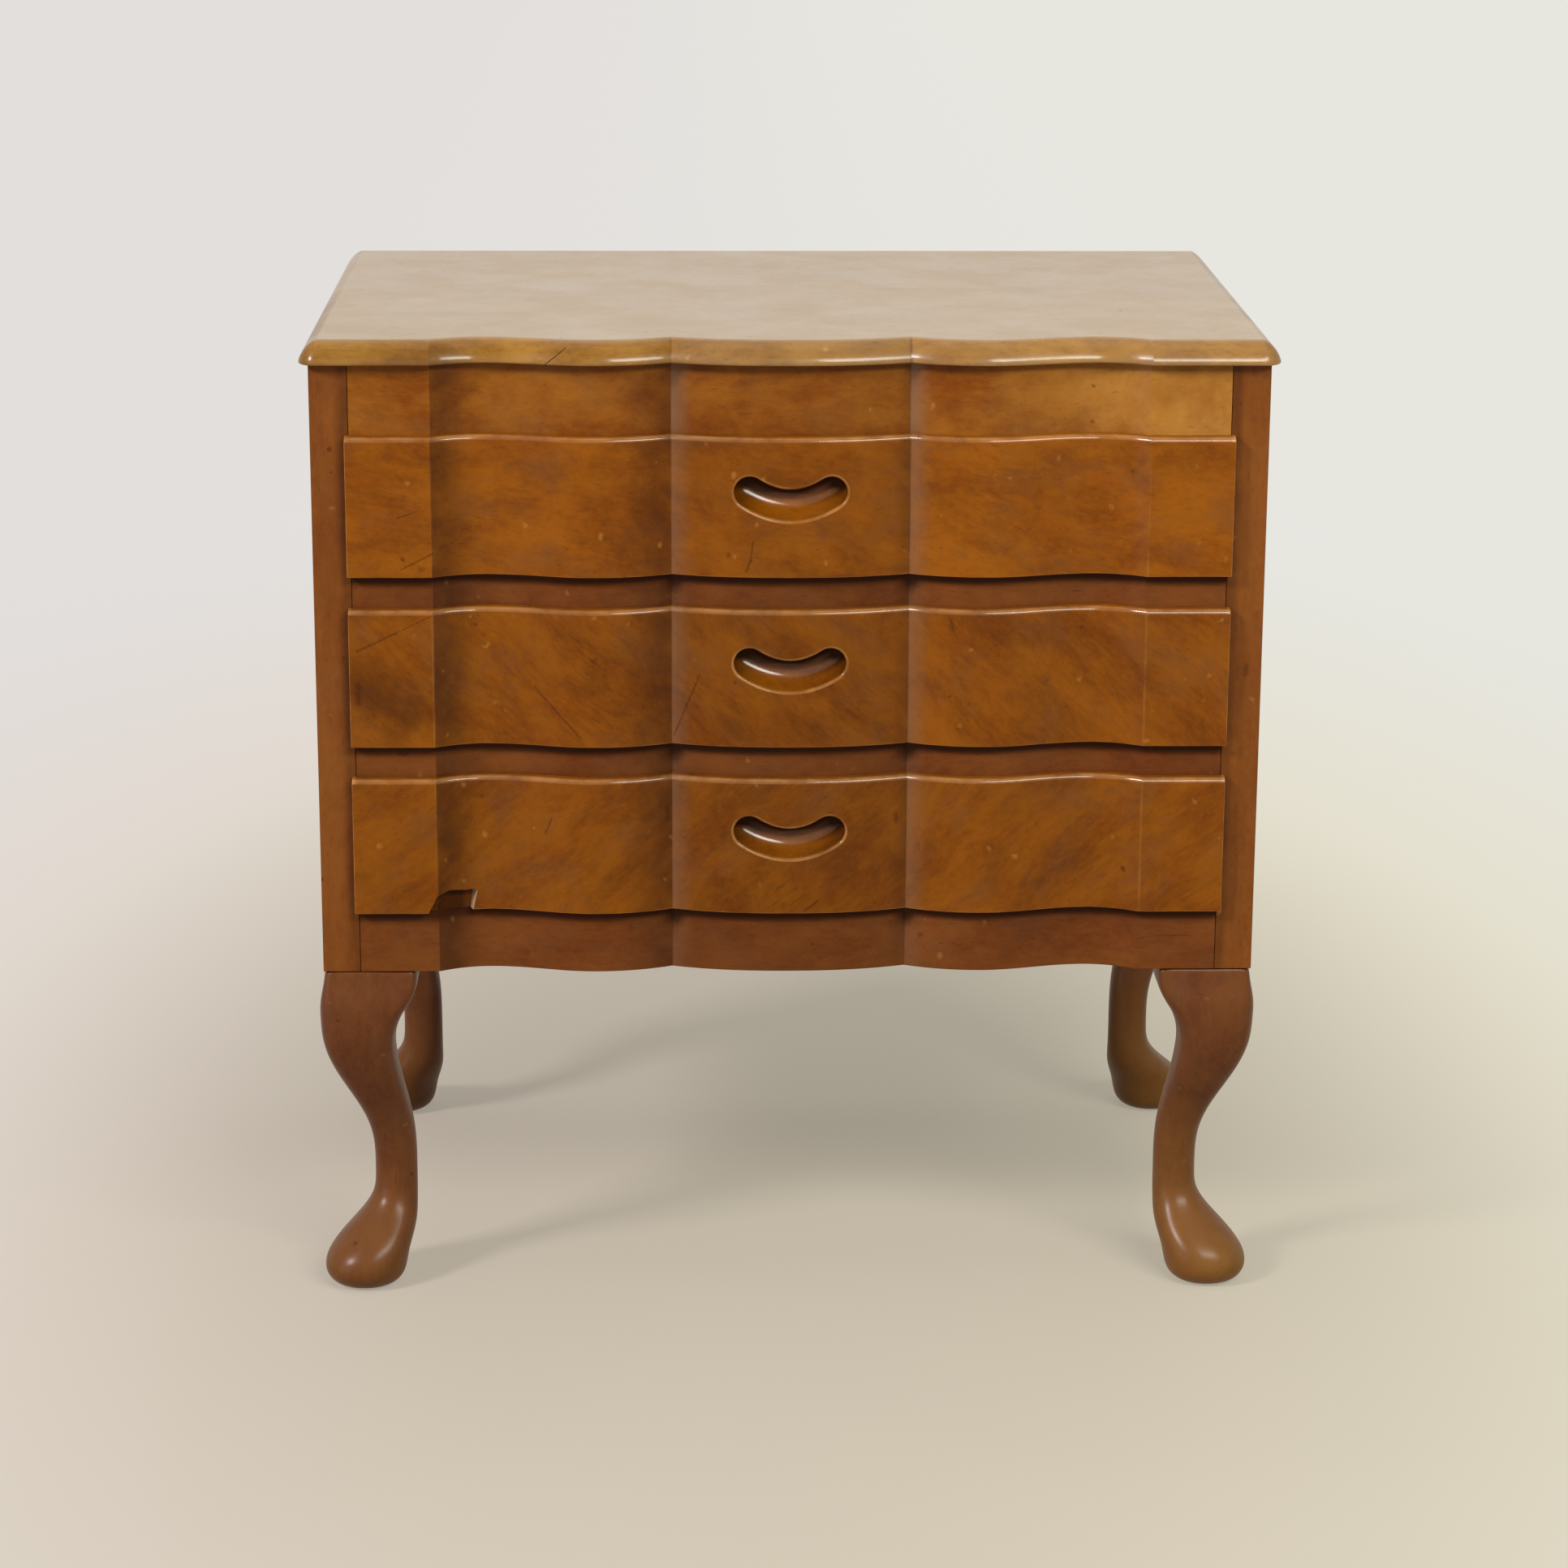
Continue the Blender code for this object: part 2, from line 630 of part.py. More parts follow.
def add_carcass(carcass, frame_wood, top_wood, leg_wood, inner_wood):
    """Everything that stays still."""
    add_piece("top_board", top_board(), top_wood, carcass, smooth=True)
    rails = [
        ("apron_rail", CARCASS_BASE, FIRST_OPENING),
        ("frieze_rail", OPENINGS_TOP, CARCASS_TOP),
    ]
    for index, word in enumerate(DRAWER_NAMES[:-1]):
        low = FIRST_OPENING + index * DRAWER_PITCH + OPENING_HEIGHT
        rails.append((f"{word}_drawer_divider", low, low + DIVIDER_HEIGHT))
    for name, low, high in rails:
        add_piece(name, serpentine_rail(low, high), frame_wood, carcass, smooth=True)

    inner_span = (-INNER_HALF, INNER_HALF)
    bottom_body = board(inner_span, (INNER_FRONT, INNER_BACK), (CARCASS_BASE, BOARD_TOP))
    bottom = add_piece("bottom_board", bottom_body, inner_wood, carcass)
    back_half = OPENING_HALF + BACK_REBATE_WIDTH - GAP
    full_height = (CARCASS_BASE, CARCASS_TOP)
    back_body = board((-back_half, back_half), (BACK_FACE, CARCASS_DEPTH), full_height)
    add_piece("back_panel", back_body, inner_wood, carcass)
    rail_height = (CARCASS_TOP - REAR_RAIL_HEIGHT, CARCASS_TOP)
    rail_body = board(inner_span, (REAR_RAIL_FACE, INNER_BACK), rail_height)
    add_piece("rear_top_rail", rail_body, inner_wood, carcass)

    for word, side in (("left", -1), ("right", 1)):
        add_piece(f"{word}_side_panel", side_panel(side), frame_wood, carcass)
        for index, name in enumerate(DRAWER_NAMES):
            level = FIRST_OPENING + index * DRAWER_PITCH
            runner = inner_strip(side, INNER_BACK, level - RUNNER_HEIGHT, level)
            add_piece(f"{name}_{word}_runner", runner, inner_wood, carcass)
        strip_end = REAR_RAIL_FACE - GAP
        kicker = inner_strip(side, strip_end, OPENINGS_TOP, OPENINGS_TOP + KICKER_HEIGHT)
        add_piece(f"{word}_kicker", kicker, inner_wood, carcass)
        cleat = inner_strip(side, strip_end, CARCASS_TOP - CLEAT_HEIGHT, CARCASS_TOP)
        add_piece(f"{word}_top_cleat", cleat, inner_wood, carcass)
        for corner, end in (("front", 0), ("rear", 1)):
            add_leg(f"{corner}_{word}", side, end, carcass, leg_wood, inner_wood, bottom)


def main():
    """Clear the scene and build the chest."""
    for item in list(bpy.data.objects):
        bpy.data.objects.remove(item, do_unlink=True)
    drawer_wood = wood("drawer_wood", (0.22, 0.068, 0.012), 0.38)
    frame_wood = wood("frame_wood", (0.14, 0.045, 0.016), 0.42)
    top_wood = wood("top_wood", (0.27, 0.12, 0.035), 0.30)
    leg_wood = wood("leg_wood", (0.13, 0.040, 0.013), 0.36)
    inner_wood = wood("inner_wood", (0.42, 0.27, 0.13), 0.65)
    carcass = add_empty("carcass", (0.0, STILE_FACE, 0.0))
    add_carcass(carcass, frame_wood, top_wood, leg_wood, inner_wood)
    for index, name in enumerate(DRAWER_NAMES):
        level = FIRST_OPENING + index * DRAWER_PITCH
        slide = add_empty(f"{name}_drawer", (0.0, 0.0, level), carcass)
        add_drawer(name, slide, drawer_wood, inner_wood)


main()
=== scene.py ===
"""The looks of a small serpentine chest of drawers: its shaped wood and its old, polished finish."""

import math

import bmesh
import bpy
from mathutils import Matrix, Vector


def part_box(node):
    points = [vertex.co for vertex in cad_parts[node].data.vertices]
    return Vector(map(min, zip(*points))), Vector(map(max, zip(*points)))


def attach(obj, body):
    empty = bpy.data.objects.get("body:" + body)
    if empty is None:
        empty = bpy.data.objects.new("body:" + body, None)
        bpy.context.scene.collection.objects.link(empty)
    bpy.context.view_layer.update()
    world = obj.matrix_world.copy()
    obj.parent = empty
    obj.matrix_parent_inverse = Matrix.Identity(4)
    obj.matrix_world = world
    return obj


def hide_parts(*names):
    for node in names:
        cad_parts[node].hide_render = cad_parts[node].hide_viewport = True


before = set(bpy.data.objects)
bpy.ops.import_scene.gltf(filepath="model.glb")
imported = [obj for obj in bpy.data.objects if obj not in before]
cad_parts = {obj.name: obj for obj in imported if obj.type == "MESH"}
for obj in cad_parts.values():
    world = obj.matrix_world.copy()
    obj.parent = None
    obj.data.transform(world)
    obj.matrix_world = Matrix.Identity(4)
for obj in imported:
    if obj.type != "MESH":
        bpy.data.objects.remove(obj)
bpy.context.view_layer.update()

TINY = 1e-5
AT_FACE = 5 * TINY
GAP = 0.0003
DRAWERS = ("lower", "middle", "upper")
SIDES = ("left", "right")
ENDS = ("front", "rear")

# The serpentine line that the drawers, the rails and the top all follow
OPENING_HALF = 0.276
FLAT_END = 0.051
COVE_WIDTH = 0.033
RISE_WIDTH = 0.068
FALL_WIDTH = 0.049
CREASE = OPENING_HALF - FLAT_END
CENTRE_HALF = CREASE - COVE_WIDTH - RISE_WIDTH - FALL_WIDTH
VALLEY_DEPTH = 0.011
GROOVE_DEPTH = 0.0105
SWELL_PROUD = 0.0015
HUMP_POWER = 2.1
CENTRE_POWER = 2.4
CREASE_WEAR = 0.0012
STATION_STEP = 0.0035

# Top board
TOP_OVERHANG_FRONT = 0.0085
THUMBNAIL_WIDTH = 0.012
THUMBNAIL_POWER = 1.5
NOSE_RADIUS = 0.0012
CORNER_RADIUS = 0.0124
CORNER_STEPS = 8
MOULDING_STEPS = 12
CRACK_PLACE = -0.1470
CRACK_DROP = 0.0024
CRACK_WIDTH = 0.0006
CRACK_DEPTH = 0.004
CRACK_REACH = 0.009
CRACK_LEAN = math.radians(-52)

# Drawer fronts
LIP_THICKNESS = 0.008
LIP_TOP_ROUND = 0.0035
LIP_END_ROUND = 0.0025
LIP_UNDER_ROUND = 0.0009
ROUND_STEPS = 6
FRONT_DEPTH = 0.022
FRONT_REBATE = 0.012
SIDE_CLEARANCE = 0.0015
TOP_CLEARANCE = 0.002
SIDE_THICKNESS = 0.012
LIP_COVER_RAIL = 0.003
OPENING_HEIGHT = 0.0832
PANEL_RISE = 0.008
PANEL_THICKNESS = 0.005
PANEL_GROOVE = 0.005
TAIL_COUNT = 3
PIN_HALF_WIDTH = 0.003
PIN_FLARE = 0.002
OVERLAP = 0.001

# Finger pulls
PULL_SPAN = 0.051
PULL_SAG = 0.0081
PULL_RADIUS = 0.0101
PULL_RIM = 0.0021
PULL_RIM_DEPTH = 0.0012
PULL_RIM_FLARE = 1.4
PULL_RISE = 0.0057
PULL_DEPTH = 0.0125
PULL_FLOOR = 0.0021
PULL_CLIMB = 0.0040
PULL_UNDERCUT = 0.0015
PULL_SPINE_STEPS = 26
PULL_END_STEPS = 16
PULL_RIM_STEPS = 5
PULL_SCOOP_STEPS = 14
PULL_AHEAD = 0.025

# Painted shade, with some dirt, in a pull: where it starts above the middle line, in radii, how softly,
# and more at the ends
PULL_SHADE = 0.1
PULL_SHADE_SOFT = 0.35
PULL_SHADE_LEAN = 0.3
PULL_END_START = 0.75
PULL_END_SHADE = 0.55

# Wear of a drawer front, from 0 to 1, on its pull's rim, its creases and its lip's edges
RIM_WEAR = 0.5
CREASE_RUB = 0.2
CORNER_WEAR = 0.9
TOP_WEAR = 0.55
TOP_WEAR_PLACE = 0.4
TOP_WEAR_FALL = 1.6
END_WEAR = 0.8
UNDER_WEAR = 0.6

# Polish, from 0 to 1, by hands on the drawer fronts and by cloths on the top
HOLLOW_POLISH = 0.9
HOLLOW_POLISH_RISE = 4
LIP_POLISH = 0.75
WORN_POLISH = 0.7
FLAT_POLISH = 0.33
NOSE_POLISH = 0.6

# The break in the lower drawer's lip
CHIP_MIDDLE = 0.0105 + FLAT_END - OPENING_HALF
CHIP_WIDTH = 0.036
CHIP_HEIGHT = 0.0145
CHIP_SLANT = 0.012
CHIP_DEPTH = 0.0068
CHIP_LEAN = 0.007
CHIP_RAGGED = 0.0006
# Painted shade inside the break's recess
CHIP_SHADE = 0.8
CHIP_EDGE = ((-0.5, -0.2), (-0.3, 0.8), (-0.1, 1.0), (0.2, 0.94), (0.4, 0.97), (0.5, 0.88))

# Painted shadow along the tops of the rails, under the lips and under the top board
RAIL_SHADOW = 0.85
FRIEZE_SHADOW = 0.05
RAIL_SHADOW_HEIGHT = 0.0115
RAIL_SHADOW_ROWS = (0.6, 0.4, 0.6)
RAIL_SHADOW_FULL = 0.8
GROOVE_SHADOW = 0.011

# How the frieze pales towards its right end
FRIEZE_PALE = 0.75
FRIEZE_FADE = 1.9
FRIEZE_FADE_START = 0.8

# How the top's moulding pales towards its upper edge, its ends made paler by a painted sheen, and painted
# shade on the moulding at the left
MOULDING_FADE = 2.9
MOULDING_PALE = 0.12
MOULDING_LEFT_SHADE = 0.14
ENDS_PAINTED_SHEEN = 0.5

# Height up to which the feet are rubbed pale, and how pale; less on the left foot, as painted shade that
# keeps it darker than the right
FOOT_FADE = {"left": 0.085, "right": 0.13}
FOOT_PALE = {"left": 0.4, "right": 1.0}
FOOT_FADE_POWER = 0.7

# Legs
LEG_QUADS = math.radians(60)
LEG_SHARP = math.radians(50)
LEG_CREASE = 0.9
LEG_LEVELS = 2

# Edges of the plain boards
BOARD_EASE = 0.0008
RAIL_EASE = 0.0007
INNER_EASE = 0.0005
EASE_STEPS = 3
BOARD_SHARP = math.radians(30)
FLAT_ANGLE = math.radians(1)
SMOOTH_ANGLE = math.radians(24)

# Scores on the front: their darkness, and how fine their ragged edges are at most
SCORE_DARK = 0.5
RAGGED_SCALE = 420.0

# Camera, fitted to the photograph, with turns in radians
CAMERA_PLACE = (-0.06718, -2.76220, 1.05482)
CAMERA_YAW = 0.0248
CAMERA_PITCH = 0.2686
CAMERA_ROLL = 0.0041
CAMERA_LENS = 95.92
CAMERA_SENSOR = 36.0

# Faces of the stiles and of the drawer fronts, from front to back
STILE_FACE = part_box("left_side_panel")[0].y
LIP_FACE = STILE_FACE - LIP_THICKNESS
FRONT_BACK = STILE_FACE + FRONT_DEPTH
FRONT_STEP = FRONT_BACK - FRONT_REBATE


# Modelling tools

def choose(piece):
    """Selects one piece alone."""
    bpy.ops.object.select_all(action="DESELECT")
    piece.select_set(True)
    bpy.context.view_layer.objects.active = piece


def open_piece(piece, kind=None):
    """Opens one piece alone for editing, with all of it selected, or all its faces."""
    choose(piece)
    bpy.ops.object.mode_set(mode="EDIT")
    bpy.ops.mesh.select_all(action="SELECT")
    if kind:
        bpy.ops.mesh.select_mode(type=kind)


def leave():
    """Ends an edit."""
    bpy.ops.object.mode_set(mode="OBJECT")


def close_piece():
    """Ends an edit, with every face turned outwards."""
    bpy.ops.mesh.select_all(action="SELECT")
    bpy.ops.mesh.normals_make_consistent(inside=False)
    leave()


def start_picking(kind):
    """Leaves nothing of the open piece selected, before points or edges are picked."""
    bpy.ops.mesh.select_mode(type=kind)
    bpy.ops.mesh.select_all(action="DESELECT")


def pick_edges(piece, test):
    """Selects the edges of the open piece whose two ends pass a test."""
    start_picking("EDGE")
    body = bmesh.from_edit_mesh(piece.data)
    for edge in body.edges:
        if test(edge.verts[0].co, edge.verts[1].co):
            edge.select_set(True)
    body.select_flush_mode()
    bmesh.update_edit_mesh(piece.data)


def push(*step):
    """Extrudes what is selected by one step."""
    bpy.ops.mesh.extrude_region_move(TRANSFORM_OT_translate={"value": step})


def bevel(radius, steps):
    """Rounds the selected edges."""
    bpy.ops.mesh.bevel(offset=radius, segments=steps, profile=0.5, affect="EDGES", clamp_overlap=True)


def round_edges(piece, test, radius, steps):
    """Rounds the edges whose two ends pass a test."""
    open_piece(piece)
    pick_edges(piece, test)
    bevel(radius, steps)
    close_piece()


def apply_modifier(piece, modifier):
    """Makes a modifier part of its piece."""
    choose(piece)
    bpy.ops.object.modifier_apply(modifier=modifier.name)


def combine(piece, tool, operation):
    """Joins a tool to a piece or cuts it out, and takes the tool away."""
    joint = piece.modifiers.new("joint", "BOOLEAN")
    joint.operation = operation
    joint.solver = "EXACT"
    joint.object = tool
    apply_modifier(piece, joint)
    bpy.data.objects.remove(tool)


def smooth(piece):
    """Shades a piece round where it is round and flat where it is flat."""
    choose(piece)
    bpy.ops.object.shade_smooth_by_angle(angle=SMOOTH_ANGLE)
    weights = piece.modifiers.new("flat faces", "WEIGHTED_NORMAL")
    weights.keep_sharp = True
    weights.weight = 100
    apply_modifier(piece, weights)


def block(name, low, high):
    """A square block between two corners, to be shaped further."""
    middle = [(a + b) / 2 for a, b in zip(low, high)]
    size = [b - a for a, b in zip(low, high)]
    bpy.ops.mesh.primitive_cube_add(size=1.0, location=middle, scale=size)
    piece = bpy.context.object
    piece.name = name
    bpy.ops.object.transform_apply(location=True, rotation=True, scale=True)
    return piece


def ring_face(name, points):
    """One flat face drawn through points."""
    bpy.ops.mesh.primitive_circle_add(vertices=len(points), fill_type="NGON")
    piece = bpy.context.object
    piece.name = name
    for vertex, point in zip(piece.data.vertices, points):
        vertex.co = point
    return piece


def twin(piece, name):
    """A copy of a piece with its own mesh."""
    copy = piece.copy()
    copy.data = piece.data.copy()
    copy.name = name
    bpy.context.scene.collection.objects.link(copy)
    return copy


def copy_node(node):
    """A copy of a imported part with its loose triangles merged."""
    piece = twin(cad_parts[node], f"{node}_shaped")
    piece.parent = None
    piece.matrix_world = Matrix.Identity(4)
    open_piece(piece)
    bpy.ops.mesh.remove_doubles(threshold=TINY)
    leave()
    return piece


# The serpentine line

def ease(share):
    """A smooth step from 0 to 1."""
    return (1 - math.cos(math.pi * share)) / 2


def serpentine(x):
    """How far the front line lies behind the stile face at a place across the front."""
    inward = OPENING_HALF - abs(x) - FLAT_END
    if inward <= 0:
        return 0.0
    if inward <= COVE_WIDTH:
        return VALLEY_DEPTH * (1 - (1 - inward / COVE_WIDTH) ** 2)
    inward -= COVE_WIDTH
    if inward <= RISE_WIDTH:
        return VALLEY_DEPTH - (VALLEY_DEPTH + SWELL_PROUD) * ease(inward / RISE_WIDTH)
    inward -= RISE_WIDTH
    if inward <= FALL_WIDTH:
        return (GROOVE_DEPTH + SWELL_PROUD) * (inward / FALL_WIDTH) ** HUMP_POWER - SWELL_PROUD
    return (GROOVE_DEPTH + SWELL_PROUD) * (abs(x) / CENTRE_HALF) ** CENTRE_POWER - SWELL_PROUD


def stations(half):
    """Places from side to side, close enough to draw the serpentine line smoothly."""
    turns = [CENTRE_HALF, CENTRE_HALF + FALL_WIDTH, CREASE - COVE_WIDTH]
    turns += [CREASE - CREASE_WEAR, CREASE, CREASE + CREASE_WEAR, half]
    places = [0.0]
    for turn in turns:
        start = places[-1]
        steps = math.ceil((turn - start) / STATION_STEP)
        places.extend(start + (turn - start) * (step + 1) / steps for step in range(steps))
    return [-place for place in reversed(places[1:])] + places


def plan_strip(name, places, front, back, level):
    """A flat strip from front to back, with a line across it at each of the places."""
    middle = ((places[0] + places[1]) / 2, (front + back) / 2, level)
    bpy.ops.mesh.primitive_plane_add(size=1.0, location=middle)
    piece = bpy.context.object
    piece.name = name
    piece.scale = (places[1] - places[0], back - front, 1.0)
    bpy.ops.object.transform_apply(location=True, rotation=True, scale=True)
    open_piece(piece)
    pick_edges(piece, lambda a, b: min(a.x, b.x) > places[1] - TINY)
    for start, end in zip(places[1:], places[2:]):
        push(end - start, 0, 0)
    leave()
    return piece


def raise_strip(piece, rises):
    """Gives a strip its height, in one step or more."""
    open_piece(piece, "FACE")
    for rise in rises:
        push(0, 0, rise)
    close_piece()


def bend_to_front(piece, front=None, back=None):
    """Bends a straight piece to the serpentine line, which no operator does without a window.

    All of it moves, or only its front, with less and less towards a back that stays straight.
    """
    for vertex in piece.data.vertices:
        share = 1.0
        if back is not None:
            share = min(1.0, max(0.0, (back - vertex.co.y) / (back - front)))
        vertex.co.y += share * serpentine(vertex.co.x)


# Drawer fronts

def drawer_lip(low, high):
    """The serpentine face of a drawer, round along its top edge and at its ends."""
    half = high.x
    lip = plan_strip("lip", stations(half), LIP_FACE, STILE_FACE - GAP, low.z)
    raise_strip(lip, [high.z - low.z])

    def on_top(a, b):
        return max(a.y, b.y) < LIP_FACE + TINY and min(a.z, b.z) > high.z - TINY

    def at_end(a, b):
        outside = min(abs(a.x), abs(b.x)) > half - TINY
        ahead = max(a.y, b.y) < LIP_FACE + LIP_TOP_ROUND + TINY
        return outside and ahead and max(a.z, b.z) > low.z + TINY

    def underneath(a, b):
        return max(a.z, b.z) < low.z + TINY and max(a.y, b.y) < LIP_FACE + LIP_END_ROUND

    round_edges(lip, on_top, LIP_TOP_ROUND, ROUND_STEPS)
    round_edges(lip, at_end, LIP_END_ROUND, ROUND_STEPS)
    round_edges(lip, underneath, LIP_UNDER_ROUND, ROUND_STEPS // 2)
    bend_to_front(lip)
    return lip


def dovetail_pins(bottom, top, inner, outer):
    """The pins at both ends of a drawer front, with half pins at the bottom and the top."""
    spread = (PIN_HALF_WIDTH + PIN_FLARE) / PIN_HALF_WIDTH
    pins = []
    for side in (-1, 1):
        start, end = sorted((side * (inner - OVERLAP), side * outer))
        for index in range(TAIL_COUNT + 1):
            middle = bottom + (top - bottom) * index / TAIL_COUNT
            lowest = max(middle - PIN_HALF_WIDTH, bottom)
            highest = min(middle + PIN_HALF_WIDTH, top)
            pin = block("pin", (start, FRONT_STEP - OVERLAP, lowest), (end, FRONT_BACK, highest))
            open_piece(pin)
            pick_edges(pin, lambda a, b: min(a.y, b.y) > FRONT_BACK - TINY)
            bpy.ops.transform.resize(value=(1, 1, spread), center_override=(0, FRONT_BACK, middle))
            close_piece()
            pins.append(pin)
    bpy.ops.object.select_all(action="DESELECT")
    for pin in pins:
        pin.select_set(True)
    bpy.context.view_layer.objects.active = pins[0]
    bpy.ops.object.join()
    return pins[0]


def pull_outline(reach):
    """A kidney outline at one reach from its sagging spine, as (x, z) points."""
    half = PULL_SPAN / 2

    def offset(x, side):
        slope = 2 * PULL_SAG * x / half ** 2
        length = math.hypot(1.0, slope)
        rise = PULL_SAG * (x / half) ** 2 - PULL_SAG / 2
        return (x - side * reach * slope / length, rise + side * reach / length)

    places = [half * (2 * step / PULL_SPINE_STEPS - 1) for step in range(PULL_SPINE_STEPS + 1)]
    lean = math.atan(2 * PULL_SAG / half)
    rise = PULL_SAG / 2
    turns = [math.pi * step / PULL_END_STEPS for step in range(1, PULL_END_STEPS)]
    outline = [offset(x, -1) for x in places]
    outline += [(half + reach * math.sin(lean + t), rise - reach * math.cos(lean + t)) for t in turns]
    outline += [offset(x, 1) for x in reversed(places)]
    outline += [(-half - reach * math.sin(t - lean), rise + reach * math.cos(t - lean)) for t in turns]
    return outline


def pull_middle(low):
    """The height of a pull's middle on the drawer front with this lower corner."""
    return low.z + LIP_COVER_RAIL + OPENING_HEIGHT / 2 + PULL_RISE


def pull_levels():
    """The finger pull's hollow from rim to floor, as (depth, reach, rise) steps."""
    levels = []
    for step in range(PULL_RIM_STEPS):
        turn = math.pi / 2 * (step + 1) / PULL_RIM_STEPS
        depth = PULL_RIM_DEPTH * (1 - math.cos(turn))
        levels.append((depth, PULL_RADIUS + PULL_RIM * (1 - math.sin(turn)), 0.0))
    for step in range(1, PULL_SCOOP_STEPS + 1):
        share = math.sin(math.pi / 2 * step / PULL_SCOOP_STEPS)
        reach = math.sqrt(PULL_RADIUS ** 2 - (PULL_RADIUS ** 2 - PULL_FLOOR ** 2) * share ** 2)
        rise = PULL_CLIMB * (PULL_RADIUS - reach) / (PULL_RADIUS - PULL_FLOOR)
        rise += PULL_UNDERCUT * math.sin(math.pi * share)
        levels.append((PULL_RIM_DEPTH + (PULL_DEPTH - PULL_RIM_DEPTH) * share, reach, rise))
    return levels


def finger_pull(middle):
    """The tool that scoops out a finger pull, with a round rim and an undercut upper edge."""
    depth, reach, rise = -PULL_RIM_DEPTH / 4, PULL_RADIUS + PULL_RIM * PULL_RIM_FLARE, 0.0
    outline = pull_outline(reach)
    tool = ring_face("pull", [(x, LIP_FACE - PULL_AHEAD, middle + z) for x, z in outline])
    open_piece(tool, "FACE")
    push(0, PULL_AHEAD + depth, 0)
    for next_depth, next_reach, next_rise in pull_levels():
        bpy.ops.mesh.inset(thickness=reach - next_reach, depth=0.0, use_even_offset=True)
        bpy.ops.transform.translate(value=(0, next_depth - depth, next_rise - rise))
        depth, reach, rise = next_depth, next_reach, next_rise
    close_piece()
    bend_to_front(tool)
    return tool


def lip_break(low):
    """The tool that breaks a piece out of a lip's lower edge, with a ragged upper edge."""
    upper = [(CHIP_MIDDLE + share * CHIP_WIDTH, low + height * CHIP_HEIGHT) for share, height in CHIP_EDGE]
    right = upper[-1][0] - CHIP_SLANT / 2
    outline = upper + [(right, low - CHIP_HEIGHT), (upper[0][0], low - CHIP_HEIGHT)]
    tool = ring_face("break", [(x, LIP_FACE - CHIP_DEPTH, z) for x, z in outline])
    open_piece(tool, "FACE")
    push(0, 2 * CHIP_DEPTH, 0)
    bpy.ops.mesh.subdivide(number_cuts=3)
    bpy.ops.transform.vertex_random(offset=CHIP_RAGGED, seed=4)
    close_piece()
    for vertex in tool.data.vertices:
        if vertex.co.y > LIP_FACE:
            vertex.co.x -= CHIP_LEAN * max(0.0, 2 * (vertex.co.x - CHIP_MIDDLE) / CHIP_WIDTH)
    bend_to_front(tool)
    return tool


def drawer_front():
    """The upper drawer's front: lip, thick back with dovetail pins, panel groove and finger pull."""
    low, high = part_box("upper_drawer_front")
    opening = low.z + LIP_COVER_RAIL
    half = OPENING_HALF - SIDE_CLEARANCE
    inner = half - SIDE_THICKNESS - GAP
    bottom = opening + GAP
    top = opening + OPENING_HEIGHT - TOP_CLEARANCE
    front = drawer_lip(low, high)
    core_face = STILE_FACE - LIP_THICKNESS / 2
    core = plan_strip("core", stations(half), core_face, FRONT_STEP, bottom)
    raise_strip(core, [top - bottom])
    bend_to_front(core, core_face, FRONT_STEP)
    combine(front, core, "UNION")
    thick = block("thick", (-inner, FRONT_STEP - OVERLAP, bottom), (inner, FRONT_BACK, top))
    combine(front, thick, "UNION")
    combine(front, dovetail_pins(bottom, top, inner, half), "UNION")
    groove_face = FRONT_BACK - PANEL_GROOVE
    groove_low = opening + PANEL_RISE
    groove_end = (inner + OVERLAP, groove_face + 2 * PANEL_GROOVE, groove_low + PANEL_THICKNESS + 2 * GAP)
    groove = block("groove", (-inner - OVERLAP, groove_face, groove_low), groove_end)
    combine(front, groove, "DIFFERENCE")
    combine(front, finger_pull(pull_middle(low)), "DIFFERENCE")
    return front


def moved_copy(piece, name, rise):
    """A copy of a piece at another height, with its place in its own mesh."""
    copy = twin(piece, name)
    open_piece(copy)
    bpy.ops.transform.translate(value=(0, 0, rise))
    leave()
    return copy


# Rails, top and legs

def serpentine_rail(node, strength):
    """A rail between the sides whose front face follows the serpentine line, with painted shadow along its
    top.
    """
    low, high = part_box(node)
    rail = plan_strip(f"{node}_shaped", stations(high.x), STILE_FACE, high.y, low.z)
    unshaded = high.z - low.z - sum(RAIL_SHADOW_ROWS) * RAIL_SHADOW_HEIGHT
    raise_strip(rail, [unshaded] + [share * RAIL_SHADOW_HEIGHT for share in RAIL_SHADOW_ROWS])

    def ahead(a, b):
        edge = min(a.z, b.z) > high.z - TINY or max(a.z, b.z) < low.z + TINY
        return edge and max(a.y, b.y) < STILE_FACE + TINY

    round_edges(rail, ahead, RAIL_EASE, ROUND_STEPS // 2)
    bend_to_front(rail, STILE_FACE, high.y)

    # Painted shadow under the lip above, reaching lower at the grooves
    def shading(place):
        if place.z > high.z - RAIL_SHADOW_FULL * RAIL_SHADOW_HEIGHT:
            return strength
        if place.z < high.z - RAIL_SHADOW_HEIGHT - TINY:
            return 0.0
        return strength * max(0.0, 1 - abs(abs(place.x) - CENTRE_HALF) / GROOVE_SHADOW)

    mark(rail, "shade_and_dirt", shading)
    return rail


def moulding_profile(thickness):
    """The edge moulding from its underside up, as (rise, inset) steps: a small nose, then a thumbnail."""
    turns = [math.pi / 2 * step / MOULDING_STEPS for step in range(MOULDING_STEPS + 1)]
    drop = thickness - NOSE_RADIUS
    profile = []
    for turn in turns[::3]:
        profile.append((NOSE_RADIUS * (1 - math.cos(turn)), NOSE_RADIUS * (1 - math.sin(turn))))
    for turn in turns[1:]:
        rise = drop * math.sin(turn) ** (2 / THUMBNAIL_POWER)
        reach = THUMBNAIL_WIDTH * math.cos(turn) ** (2 / THUMBNAIL_POWER) if turn < turns[-1] else 0.0
        profile.append((NOSE_RADIUS + rise, THUMBNAIL_WIDTH - reach))
    return profile


